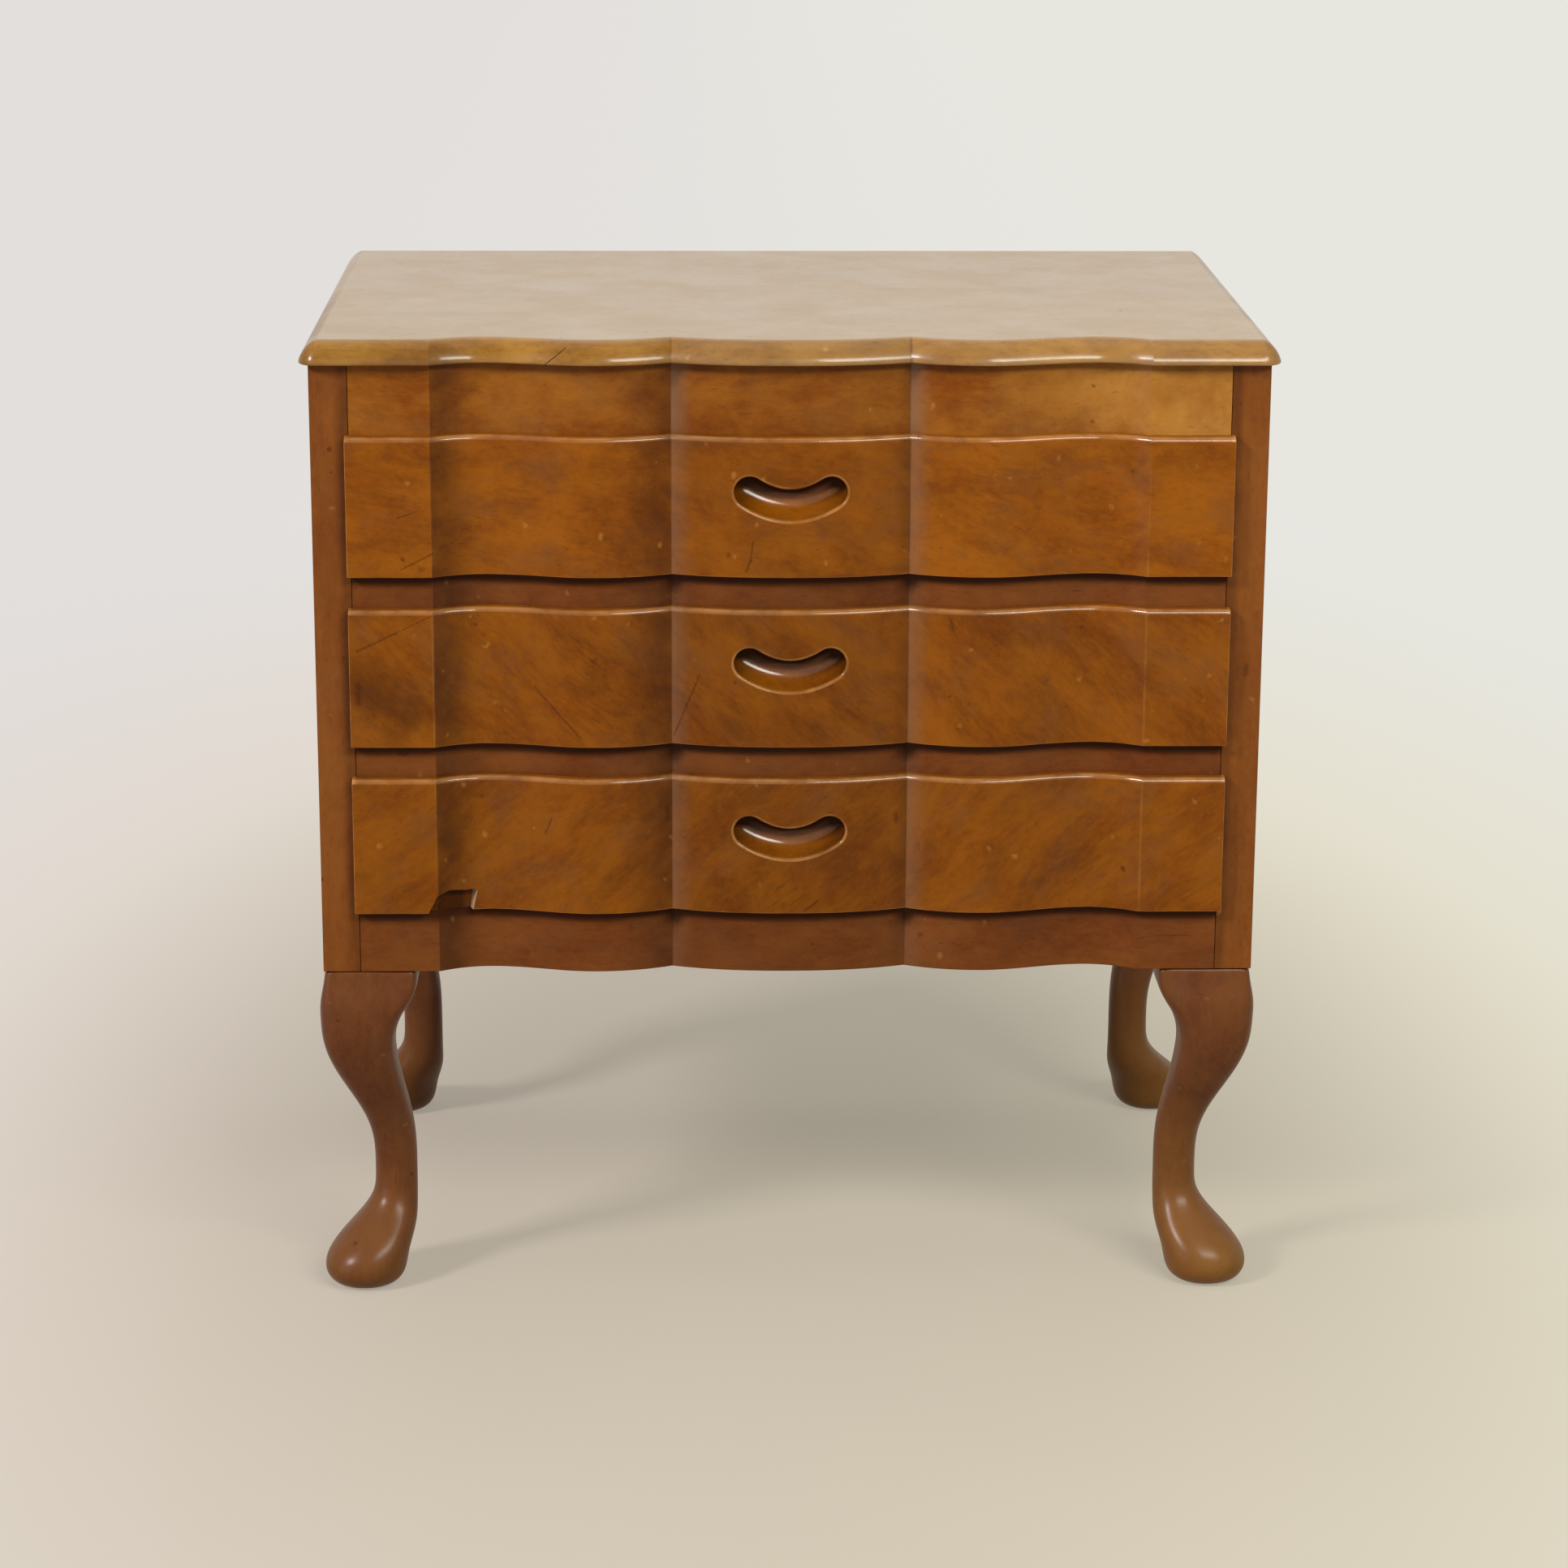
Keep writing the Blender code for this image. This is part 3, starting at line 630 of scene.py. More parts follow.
def moulded_top():
    """The top board, with a thumbnail moulding on its front and two ends, and round front corners."""
    low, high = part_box("top_board")
    front = STILE_FACE - TOP_OVERHANG_FRONT
    places = [-high.x] + stations(high.x - 2 * THUMBNAIL_WIDTH) + [high.x]
    top = plan_strip("top_board_shaped", places, front, high.y, low.z)
    open_piece(top)
    start_picking("VERT")
    body = bmesh.from_edit_mesh(top.data)
    for vertex in body.verts:
        vertex.select_set(abs(vertex.co.x) > high.x - TINY and vertex.co.y < front + TINY)
    bmesh.update_edit_mesh(top.data)
    bpy.ops.mesh.bevel(offset=CORNER_RADIUS, segments=CORNER_STEPS, profile=0.5, affect="VERTICES")
    leave()
    profile = moulding_profile(high.z - low.z)
    raise_strip(top, [after[0] - before[0] for before, after in zip(profile, profile[1:])])
    for vertex in top.data.vertices:
        rise = vertex.co.z - low.z
        inset = min(profile, key=lambda level: abs(level[0] - rise))[1]
        side = math.copysign(1.0, vertex.co.x)
        across = max(0.0, abs(vertex.co.x) - (high.x - CORNER_RADIUS)) / CORNER_RADIUS
        ahead = max(0.0, front + CORNER_RADIUS - vertex.co.y) / CORNER_RADIUS
        length = math.hypot(across, ahead)
        if length > 0.5:
            vertex.co.x -= side * inset * across / length
            vertex.co.y += inset * ahead / length
        if ahead > 0.0:
            vertex.co.y += serpentine(vertex.co.x)
    round_edges(top, lambda a, b: min(a.y, b.y) > high.y - TINY and abs(a.z - b.z) < TINY, BOARD_EASE, 2)
    half_crack = (CRACK_WIDTH / 2, CRACK_DEPTH, CRACK_REACH)
    crack = block("crack", [-size for size in half_crack], half_crack)
    open_piece(crack)
    bpy.ops.transform.rotate(value=CRACK_LEAN, orient_axis="Y", center_override=(0, 0, 0))
    place = (CRACK_PLACE, front + serpentine(CRACK_PLACE), (low.z + high.z) / 2 - CRACK_DROP)
    bpy.ops.transform.translate(value=place)
    close_piece()
    combine(top, crack, "DIFFERENCE")
    return top


def cabriole_leg(node):
    """A leg with its facets rounded out, and its shoulder and sole kept crisp."""
    leg = copy_node(node)
    open_piece(leg)
    bpy.ops.mesh.tris_convert_to_quads(face_threshold=LEG_QUADS, shape_threshold=LEG_QUADS)
    start_picking("EDGE")
    bpy.ops.mesh.edges_select_sharp(sharpness=LEG_SHARP)
    bpy.ops.transform.edge_crease(value=LEG_CREASE)
    leave()
    rounder = leg.modifiers.new("rounder", "SUBSURF")
    rounder.levels = LEG_LEVELS
    rounder.render_levels = LEG_LEVELS
    apply_modifier(leg, rounder)
    return leg


def eased_board(node, radius):
    """A plain board with its sharp edges taken off."""
    board = copy_node(node)
    open_piece(board)
    bpy.ops.mesh.dissolve_limited(angle_limit=FLAT_ANGLE)
    start_picking("EDGE")
    bpy.ops.mesh.edges_select_sharp(sharpness=BOARD_SHARP)
    bevel(radius, EASE_STEPS)
    close_piece()
    return board


# Wear, painted shade and polish, kept on each piece as an attribute from 0 to 1

def mark(piece, label, rule, *limits, faces=False):
    """Writes how worn, faded, darkened by painted shade and dirt, or polished a piece is at each point, or
    on each face.
    """
    if faces:
        places = [face.center for face in piece.data.polygons]
    else:
        places = [vertex.co for vertex in piece.data.vertices]
    layer = piece.data.attributes.new(label, "FLOAT", "FACE" if faces else "POINT")
    layer.data.foreach_set("value", [rule(place, *limits) for place in places])


def front_depth(place):
    """How far a place lies behind the face of a drawer front."""
    return place.y - (LIP_FACE + serpentine(place.x))


def in_hollow(place, low):
    """How deep a place lies in the hollow of a pull, from 0 to 1."""
    depth = front_depth(place)
    aside = abs(place.x) > PULL_SPAN or abs(place.z - pull_middle(low)) > PULL_SPAN / 2
    if aside or depth > PULL_DEPTH + TINY:
        return 0.0
    return min(1.0, max(0.0, (depth - PULL_RIM_DEPTH) / (PULL_DEPTH - PULL_RIM_DEPTH)))


def front_wear(place, low, high):
    """How rubbed a drawer front is: at its rounded edges and at the rim of its pull."""
    depth = front_depth(place)
    if depth > LIP_THICKNESS:
        return 0.0
    reach = PULL_SPAN / 2 + PULL_RADIUS + 2 * PULL_RIM
    if abs(place.x) < reach and abs(place.z - pull_middle(low)) < reach / 2:
        return RIM_WEAR if AT_FACE < depth < PULL_RIM_DEPTH + TINY else 0.0
    upper = place.z > high.z - LIP_TOP_ROUND
    if depth < AT_FACE:
        return CREASE_RUB if abs(abs(place.x) - CREASE) < TINY and not upper else 0.0
    if upper:
        corner = abs(place.x) > high.x - LIP_END_ROUND - TINY
        aside = abs(depth / LIP_TOP_ROUND - TOP_WEAR_PLACE)
        return CORNER_WEAR if corner else TOP_WEAR * max(0.0, 1.0 - aside * TOP_WEAR_FALL)
    if abs(place.x) > high.x - LIP_END_ROUND:
        return END_WEAR if depth < LIP_END_ROUND else 0.0
    return UNDER_WEAR if place.z < low.z + LIP_UNDER_ROUND and depth < LIP_UNDER_ROUND else 0.0


def in_break(place, low):
    """Whether a place lies inside the break in the lower drawer's lip."""
    beside = abs(place.x - CHIP_MIDDLE) < CHIP_WIDTH / 2 + CHIP_RAGGED
    return beside and place.z < low.z + CHIP_HEIGHT + CHIP_RAGGED and place.y < STILE_FACE + CHIP_DEPTH


def break_end(place, low):
    """Where the wood is fresh, at the right end of the break."""
    fresh = CHIP_MIDDLE + CHIP_WIDTH / 2 - CHIP_LEAN < place.x
    return 1.0 if fresh and in_break(place, low) and 2 * AT_FACE < front_depth(place) < CHIP_DEPTH else 0.0


def front_shade_and_dirt(place, low, broken):
    """How dark a drawer front is painted: painted shade with some dirt under the upper edge and at the
    ends of its pull, and painted shade in its break.
    """
    if broken and in_break(place, low) and front_depth(place) > CHIP_DEPTH / 2:
        return CHIP_SHADE
    if in_hollow(place, low) <= 0.0:
        return 0.0
    across = abs(2 * place.x / PULL_SPAN)
    side = min(1.0, across) ** 2
    height = (place.z - pull_middle(low) - PULL_SAG * (side - 0.5)) / PULL_RADIUS
    end = min(PULL_END_SHADE, max(0.0, across - PULL_END_START))
    return min(1.0, max(end, (height - PULL_SHADE + PULL_SHADE_LEAN * side) / PULL_SHADE_SOFT))


def front_polish(place, low, high):
    """How far hands have polished a drawer front: its edges, and the hollow of its pull."""
    share = in_hollow(place, low)
    if share > 0.0:
        return HOLLOW_POLISH * min(1.0, HOLLOW_POLISH_RISE * share)
    depth = front_depth(place)
    if depth < AT_FACE or depth > LIP_THICKNESS:
        return 0.0
    upper = place.z > high.z - LIP_TOP_ROUND
    return LIP_POLISH if upper else WORN_POLISH * front_wear(place, low, high)


# Finishes

class Sheet:
    """A node tree, with short ways to place its nodes and join them."""

    def __init__(self, tree):
        self.nodes = tree.nodes
        self.join = tree.links.new

    def place(self, kind, inputs, output=0, **settings):
        """Adds a node, sets or joins its inputs, and gives one of its outputs."""
        node = self.nodes.new(kind)
        for name, value in settings.items():
            setattr(node, name, value)
        for name, value in inputs.items():
            if isinstance(value, bpy.types.NodeSocket):
                self.join(value, node.inputs[name])
            else:
                node.inputs[name].default_value = value
        return node.outputs[output]

    def math(self, operation, first, second=0.0):
        return self.place("ShaderNodeMath", {0: first, 1: second}, operation=operation)

    def times(self, first, second):
        return self.math("MULTIPLY", first, second)

    def plus(self, first, second):
        return self.math("ADD", first, second)

    def minus(self, first, second):
        return self.math("SUBTRACT", first, second)

    def most(self, first, *others):
        """The greatest of several values."""
        for other in others:
            first = self.math("MAXIMUM", first, other)
        return first

    def seen(self):
        """Whether a ray comes from the camera, off gloss or through glass."""
        path = self.nodes.new("ShaderNodeLightPath").outputs
        return self.most(path["Is Camera Ray"], path["Is Glossy Ray"], path["Is Transmission Ray"])

    def vector(self, operation, first, second, output=0):
        return self.place("ShaderNodeVectorMath", {0: first, 1: second}, output, operation=operation)

    def scaled(self, vector, scale):
        return self.place("ShaderNodeVectorMath", {0: vector, "Scale": scale}, operation="SCALE")

    def span(self, value, low, high, start=0.0, end=1.0):
        """The value's place between low and high, as a smooth step from start to end."""
        inputs = {"Value": value, "From Min": low, "From Max": high, "To Min": start, "To Max": end}
        return self.place("ShaderNodeMapRange", inputs, interpolation_type="SMOOTHSTEP")

    def noise(self, place, scale, detail=3.0, roughness=0.55, distortion=0.0, output=0):
        inputs = {"Vector": place, "Scale": scale, "Detail": detail}
        inputs.update({"Roughness": roughness, "Distortion": distortion})
        return self.place("ShaderNodeTexNoise", inputs, output)

    def stretch(self, place, scale, turn=(0.0, 0.0, 0.0), shift=(0.0, 0.0, 0.0)):
        inputs = {"Vector": place, "Scale": scale, "Rotation": turn, "Location": shift}
        return self.place("ShaderNodeMapping", inputs)

    def mix(self, share, first, second):
        return self.place("ShaderNodeMix", {0: share, 6: first, 7: second}, 2, data_type="RGBA")


def new_group(name, vectors, values, outputs):
    """An empty node group with named sockets, as its tree, its sheet, its inputs and its outputs."""
    tree = bpy.data.node_groups.new(name, "ShaderNodeTree")
    for label in vectors:
        tree.interface.new_socket(label, in_out="INPUT", socket_type="NodeSocketVector")
    for label, value in values.items():
        socket = tree.interface.new_socket(label, in_out="INPUT", socket_type="NodeSocketFloat")
        socket.default_value = value
    for label in outputs:
        tree.interface.new_socket(label, in_out="OUTPUT", socket_type="NodeSocketFloat")
    sheet = Sheet(tree)
    entry = tree.nodes.new("NodeGroupInput")
    result = tree.nodes.new("NodeGroupOutput")
    return tree, sheet, entry.outputs, result.inputs


def timber_group():
    """Wood figure along X: lines of grain, clouds of lighter wood, dull bloom and fine open pores."""
    tree, sheet, entry, result = new_group(
        "timber", ["Place"], {"Swirl": 0.02}, ["Grain", "Cloud", "Mottle", "Bloom", "Pores"])
    drift = sheet.vector("SUBTRACT", sheet.noise(entry["Place"], 7.0, 2.0, output=1), (0.5, 0.5, 0.5))
    place = sheet.vector("ADD", entry["Place"], sheet.scaled(drift, entry["Swirl"]))
    broad = sheet.noise(sheet.stretch(place, (11.0, 42.0, 42.0)), 1.0, 6.0, 0.68)
    fine = sheet.noise(sheet.stretch(place, (18.0, 330.0, 330.0)), 1.0, 2.0, 0.6)
    grain = sheet.plus(sheet.times(broad, 0.65), sheet.times(fine, 0.35))
    sheet.join(sheet.span(grain, 0.3, 0.7), result["Grain"])

    def layer(label, scale, detail, roughness, low, high, shift=(0.0, 0.0, 0.0)):
        spread = sheet.noise(sheet.stretch(place, scale, shift=shift), 1.0, detail, roughness)
        sheet.join(sheet.span(spread, low, high), result[label])

    layer("Cloud", (12.0, 24.0, 24.0), 8.0, 0.70, 0.36, 0.64)
    layer("Mottle", (150.0, 230.0, 230.0), 4.0, 0.7, 0.3, 0.7)
    layer("Bloom", (24.0, 38.0, 38.0), 4.0, 0.62, 0.47, 0.72, (3.0, 7.0, 5.0))
    layer("Pores", (120.0, 1500.0, 1500.0), 1.0, 0.55, 0.66, 0.74)
    return tree


def marks_group():
    """Marks of use: pale flecks, dark specks and fine scratches, as masks."""
    tree, sheet, entry, result = new_group(
        "marks of use", ["Place"], {}, ["Flecks", "Specks", "Scratches"])

    def spots(scale, size, shown):
        bent = sheet.scaled(sheet.noise(entry["Place"], scale * 2.5, 2.0, output=1), 0.4 / scale)
        place = sheet.stretch(sheet.vector("ADD", entry["Place"], bent), (1.0, 1.0, 0.75))
        cells = sheet.place("ShaderNodeTexVoronoi", {"Vector": place, "Scale": scale}).node.outputs
        chance = sheet.place("ShaderNodeSeparateColor", {"Color": cells["Color"]})
        radius = sheet.span(chance, shown, 1.0, 0.0, size)
        return sheet.span(sheet.minus(radius, cells["Distance"]), 0.0, size * 0.7)

    sheet.join(spots(105.0, 0.27, 0.74), result["Flecks"])
    sheet.join(spots(75.0, 0.16, 0.72), result["Specks"])
    lines = sheet.stretch(entry["Place"], (22.0, 700.0, 700.0), (0.3, 0.5, 0.9))
    fine = sheet.noise(lines, 1.0, 1.0, 0.5, 0.3)
    patch = sheet.span(sheet.noise(entry["Place"], 16.0, 1.0), 0.5, 0.66)
    sheet.join(sheet.times(sheet.span(fine, 0.68, 0.74), patch), result["Scratches"])
    return tree


def shade_and_grime_group():
    """Dirt and painted shade: a dark line in the grooves, painted shade on the slopes that face right,
    painted shadow beside the lips' ends, and a darker middle.

    A pale painted reflection lies on the right of the grooves.
    """
    tree, sheet, entry, result = new_group(
        "shade_and_grime", ["Place"], {"Lips": 0.0, "Hollows": 1.0}, ["Grime", "Painted sheen"])
    side = sheet.place("ShaderNodeSeparateXYZ", {0: entry["Place"]})
    across = sheet.math("ABSOLUTE", side)

    def band(distance, start, end, strength):
        """Dirt from a line on, full up to the start and gone at the end."""
        edge = sheet.span(distance, -0.0002, 0.0004)
        return sheet.times(edge, sheet.span(distance, start, end, strength, 0.0))

    # A dark line in the grooves: dirt, with painted shade in the crease
    groove = sheet.math("ABSOLUTE", sheet.minus(across, CENTRE_HALF))
    bands = [sheet.span(groove, 0.0002, 0.0014, 0.9, 0.0)]
    # Painted shade on the slopes that face right, away from the left lamp
    hollows = [
        band(sheet.minus(-CENTRE_HALF, side), 0.004, 0.036, 0.85),
        band(sheet.minus(CENTRE_HALF, side), 0.001, 0.018, 0.6),
        band(sheet.plus(side, CREASE), 0.007, 0.030, 0.9),
    ]
    bands += [sheet.times(hollow, entry["Hollows"]) for hollow in hollows]
    # Painted shadow on the stiles beside the lips' ends
    beside = band(sheet.minus(across, OPENING_HALF), 0.003, 0.0095, 0.8)
    bands.append(sheet.times(beside, entry["Lips"]))
    # Darker over the middle block
    bands.append(sheet.span(across, CENTRE_HALF - 0.004, CENTRE_HALF, 0.30, 0.0))
    uneven = sheet.span(sheet.noise(entry["Place"], 45.0, 3.0), 0.25, 0.7, 0.45, 1.0)
    sheet.join(sheet.times(sheet.most(*bands), uneven), result["Grime"])
    # A pale painted reflection on the right of each groove
    painted_sheens = [band(sheet.plus(side, offset), 0.0, 0.015, 1.0) for offset in (CENTRE_HALF, -CENTRE_HALF)]
    sheet.join(sheet.most(*painted_sheens), result["Painted sheen"])
    return tree


def score_group():
    """A dark line scored from one place to another on the front, or a dent when both are the same."""
    tree, sheet, entry, result = new_group(
        "scored line", ["Place", "Start", "Run"], {"Width": 0.001, "Ragged": RAGGED_SCALE}, ["Score"])
    place = sheet.vector("MULTIPLY", entry["Place"], (1.0, 0.0, 1.0))
    away = sheet.vector("SUBTRACT", place, entry["Start"])
    along = sheet.vector("DOT_PRODUCT", away, entry["Run"], 1)
    length = sheet.most(sheet.vector("DOT_PRODUCT", entry["Run"], entry["Run"], 1), 1e-9)
    share = sheet.math("MINIMUM", sheet.most(sheet.math("DIVIDE", along, length), 0.0), 1.0)
    miss = sheet.vector("DISTANCE", away, sheet.scaled(entry["Run"], share), 1)
    ragged = sheet.span(sheet.noise(entry["Place"], entry["Ragged"], 2.0), 0.25, 0.75, 0.35, 1.3)
    edge = sheet.math("DIVIDE", miss, sheet.times(entry["Width"], ragged))
    sheet.join(sheet.span(edge, 0.0, 1.2, 1.0, 0.0), result["Score"])
    return tree


TIMBER = timber_group()
MARKS = marks_group()
SHADE_AND_GRIME = shade_and_grime_group()
SCORE = score_group()

# How the finishes mix their layers, and the directions of the grain
GRAIN_SHARE = 0.6
FINE_DARK = 0.35
DARK_LEVEL = 0.35
RUBBED_POLISH = 0.85
BUMP_HEIGHT = 0.0012
# The colour of the painted reflection beside the grooves
PAINTED_SHEEN_COLOUR = (0.18, 0.105, 0.062)
RUBBED_WOOD = (0.42, 0.22, 0.08)
ALONG_X = (0.0, 0.0, 0.0)
ALONG_Y = (0.0, 0.0, math.radians(90))
ALONG_Z = (0.0, math.radians(90), 0.0)


def wood_finish(name, deep, warm, pale, rubbed, turn=ALONG_X, shift=0.0, swirl=0.02, clouds=0.6,
                bloom=0.3, dull=(0.12, 0.050, 0.020), flecks=0.4, specks=0.6, shade_and_grime=0.0, lips=0.0,
                hollows=1.0, painted_sheen=0.0, gloss=0.42, sheen=0.06, coat=0.12, blur=0.14, waves=0.35,
                faded=None, patches=0.6, scores=()):
    """A polished wood: colour from grain and clouds, then marks, dirt with painted shade, shadow and
    sheen, and rubbed edges.
    """
    material = bpy.data.materials.new(name)
    material.use_nodes = True
    sheet = Sheet(material.node_tree)
    shader = sheet.nodes["Principled BSDF"]
    place = sheet.place("ShaderNodeTexCoord", {}, "Object")
    turned = sheet.stretch(place, (1.0, 1.0, 1.0), turn, (shift, shift * 0.7, shift * 1.3))
    dark = [channel * DARK_LEVEL for channel in deep]
    pip = [(a + b) / 2 for a, b in zip(pale, rubbed)]

    def use(group, source, **settings):
        """The outputs of a group, with its place joined and its other inputs set."""
        return sheet.place("ShaderNodeGroup", {"Place": source, **settings}, node_tree=group).node.outputs

    def attribute(label):
        return sheet.place("ShaderNodeAttribute", {}, "Fac", attribute_name=label)

    def tint(mask, strength, shade):
        """The colour so far, with a shade laid over it through a mask."""
        return sheet.mix(sheet.times(mask, strength), colour, (*shade, 1.0))

    timber = use(TIMBER, turned, Swirl=swirl)
    marks = use(MARKS, turned)
    figure = sheet.times(timber["Grain"], GRAIN_SHARE)
    figure = sheet.plus(figure, sheet.times(timber["Mottle"], 1 - GRAIN_SHARE))
    colour = sheet.mix(figure, (*deep, 1.0), (*warm, 1.0))
    colour = tint(timber["Cloud"], clouds, pale)
    colour = tint(timber["Bloom"], bloom, dull)
    if shade_and_grime:
        shading = use(SHADE_AND_GRIME, place, Lips=lips, Hollows=hollows)
        # Painted shade and shadow, with dirt in the grooves
        colour = tint(shading["Grime"], shade_and_grime, dark)
        # Painted reflection on the right of the grooves
        colour = tint(shading["Painted sheen"], painted_sheen, PAINTED_SHEEN_COLOUR)
    if faded:
        patchy = sheet.span(sheet.noise(place, 26.0, 6.0, 0.65), 0.3, 0.7, patches, 0.97)
        colour = tint(attribute("faded"), patchy, faded)
    colour = tint(timber["Pores"], FINE_DARK, dark)
    colour = tint(marks["Flecks"], flecks, pip)
    colour = tint(marks["Specks"], specks, dark)
    colour = tint(marks["Scratches"], FINE_DARK, dark)
    for start, end, width in scores:
        first = (start[0], 0.0, start[1])
        run = (end[0] - start[0], 0.0, end[1] - start[1])
        ragged = min(RAGGED_SCALE, 0.9 / width)
        score = use(SCORE, place, Start=first, Run=run, Width=1.25 * width, Ragged=ragged)
        colour = tint(score["Score"], SCORE_DARK, dark)
    uneven = sheet.span(sheet.noise(place, 60.0, 3.0), 0.3, 0.65, 0.15, 0.8)
    colour = tint(attribute("worn"), uneven, rubbed)
    # Painted shade and shadow, with some dirt in the pulls, darken the colour here
    shade_and_dirt = attribute("shade_and_dirt")
    colour = sheet.mix(shade_and_dirt, colour, (*dark, 1.0))
    sheet.join(colour, shader.inputs["Base Color"])
    dulled = sheet.span(sheet.noise(place, 20.0, 4.0), 0.3, 0.7, gloss - 0.06, gloss + 0.08)
    rough = sheet.plus(dulled, sheet.times(timber["Pores"], 0.15))
    sheet.join(rough, shader.inputs["Roughness"])
    polish = sheet.plus(sheet.times(attribute("polished"), RUBBED_POLISH), coat)
    polish = sheet.times(polish, sheet.minus(1.0, shade_and_dirt))
    sheet.join(polish, shader.inputs["Coat Weight"])
    shader.inputs["Specular IOR Level"].default_value = sheen
    shader.inputs["Coat Roughness"].default_value = blur
    lines = sheet.noise(sheet.stretch(turned, (30.0, 420.0, 420.0)), 1.0, 1.0)
    relief = sheet.plus(sheet.noise(place, 38.0, 2.0), sheet.times(lines, 0.08))
    bump = sheet.place("ShaderNodeBump", {"Height": relief, "Strength": waves, "Distance": BUMP_HEIGHT})
    sheet.join(bump, shader.inputs["Normal"])
    return material


def dent(x, z, width):
    """A round dent, as a score that ends where it starts."""
    return (x, z), (x, z), width


# Cracks, scratches and dents seen on the front, from one (x, z) place to another, with a width
UPPER_SCORES = (
    ((-0.0236, 0.5060), (-0.0252, 0.4940), 0.0007),
    ((-0.0252, 0.4940), (-0.0276, 0.4878), 0.0013),
    dent(-0.0388, 0.4977, 0.0018),
    ((-0.2464, 0.5212), (-0.2332, 0.5258), 0.0007),
    ((-0.2441, 0.4886), (-0.2246, 0.4984), 0.0009),
    dent(-0.2314, 0.4886, 0.0022),
    dent(0.2147, 0.5502, 0.0018),
)
MIDDLE_SCORES = (
    ((-0.2732, 0.4359), (-0.2480, 0.4479), 0.0010),
    ((-0.2480, 0.4479), (-0.2253, 0.4588), 0.0006),
    dent(-0.1242, 0.4298, 0.0030),
    ((-0.1618, 0.4114), (-0.1329, 0.3796), 0.0009),
    ((-0.0572, 0.4191), (-0.0732, 0.3794), 0.0009),
    ((-0.2727, 0.4132), (-0.2729, 0.4021), 0.0022),
    ((-0.2650, 0.4120), (-0.2420, 0.3900), 0.0190),
    ((0.1013, 0.4552), (0.1025, 0.4494), 0.0020),
    dent(0.1855, 0.4487, 0.0022),
    dent(0.1135, 0.4013, 0.0018),
)
LOWER_SCORES = (
    dent(-0.1961, 0.3386, 0.0018),
    ((-0.0785, 0.3313), (-0.0775, 0.3238), 0.0018),
    ((0.0180, 0.2705), (0.0103, 0.2650), 0.0010),
    ((0.0685, 0.3255), (0.0685, 0.3223), 0.0022),
    ((-0.1514, 0.3261), (-0.1557, 0.3154), 0.0008),
)
RAIL_SCORES = (
    dent(-0.1019, 0.2509, 0.0020),
    dent(0.0856, 0.2436, 0.0020),
    dent(0.0149, 0.2395, 0.0017),
    ((-0.2477, 0.3670), (-0.2440, 0.3672), 0.0020),
)
STILE_SCORES = (
    dent(0.2817, 0.5920, 0.0020),
    ((0.2902, 0.4240), (0.2904, 0.4176), 0.0022),
    dent(0.2835, 0.3658, 0.0018),
)


def drawer_finish(name, level, shift, lean, scores):
    """The warm, blotchy wood of a drawer front at one level of lightness, with its grain at a lean."""
    shades = [(0.110, 0.028, 0.0010), (0.230, 0.058, 0.0010), (0.330, 0.105, 0.0030)]
    deep, warm, pale = [tuple(level * channel for channel in shade) for shade in shades]
    return wood_finish(
        name, deep, warm, pale, (0.52, 0.25, 0.07), turn=(0.0, math.radians(lean), 0.0), shift=shift,
        swirl=0.035, clouds=0.52, shade_and_grime=0.75, painted_sheen=0.36, faded=(0.42, 0.29, 0.20), scores=scores)


def inner_finish(name, turn, shift):
    """The plain pale wood of the drawer boxes and the inside."""
    return wood_finish(
        name, (0.33, 0.20, 0.095), (0.50, 0.33, 0.165), (0.58, 0.42, 0.24), (0.66, 0.52, 0.33),
        turn=turn, shift=shift, clouds=0.25, bloom=0.08, dull=(0.25, 0.16, 0.09), flecks=0.2,
        specks=0.4, gloss=0.62, coat=0.0)


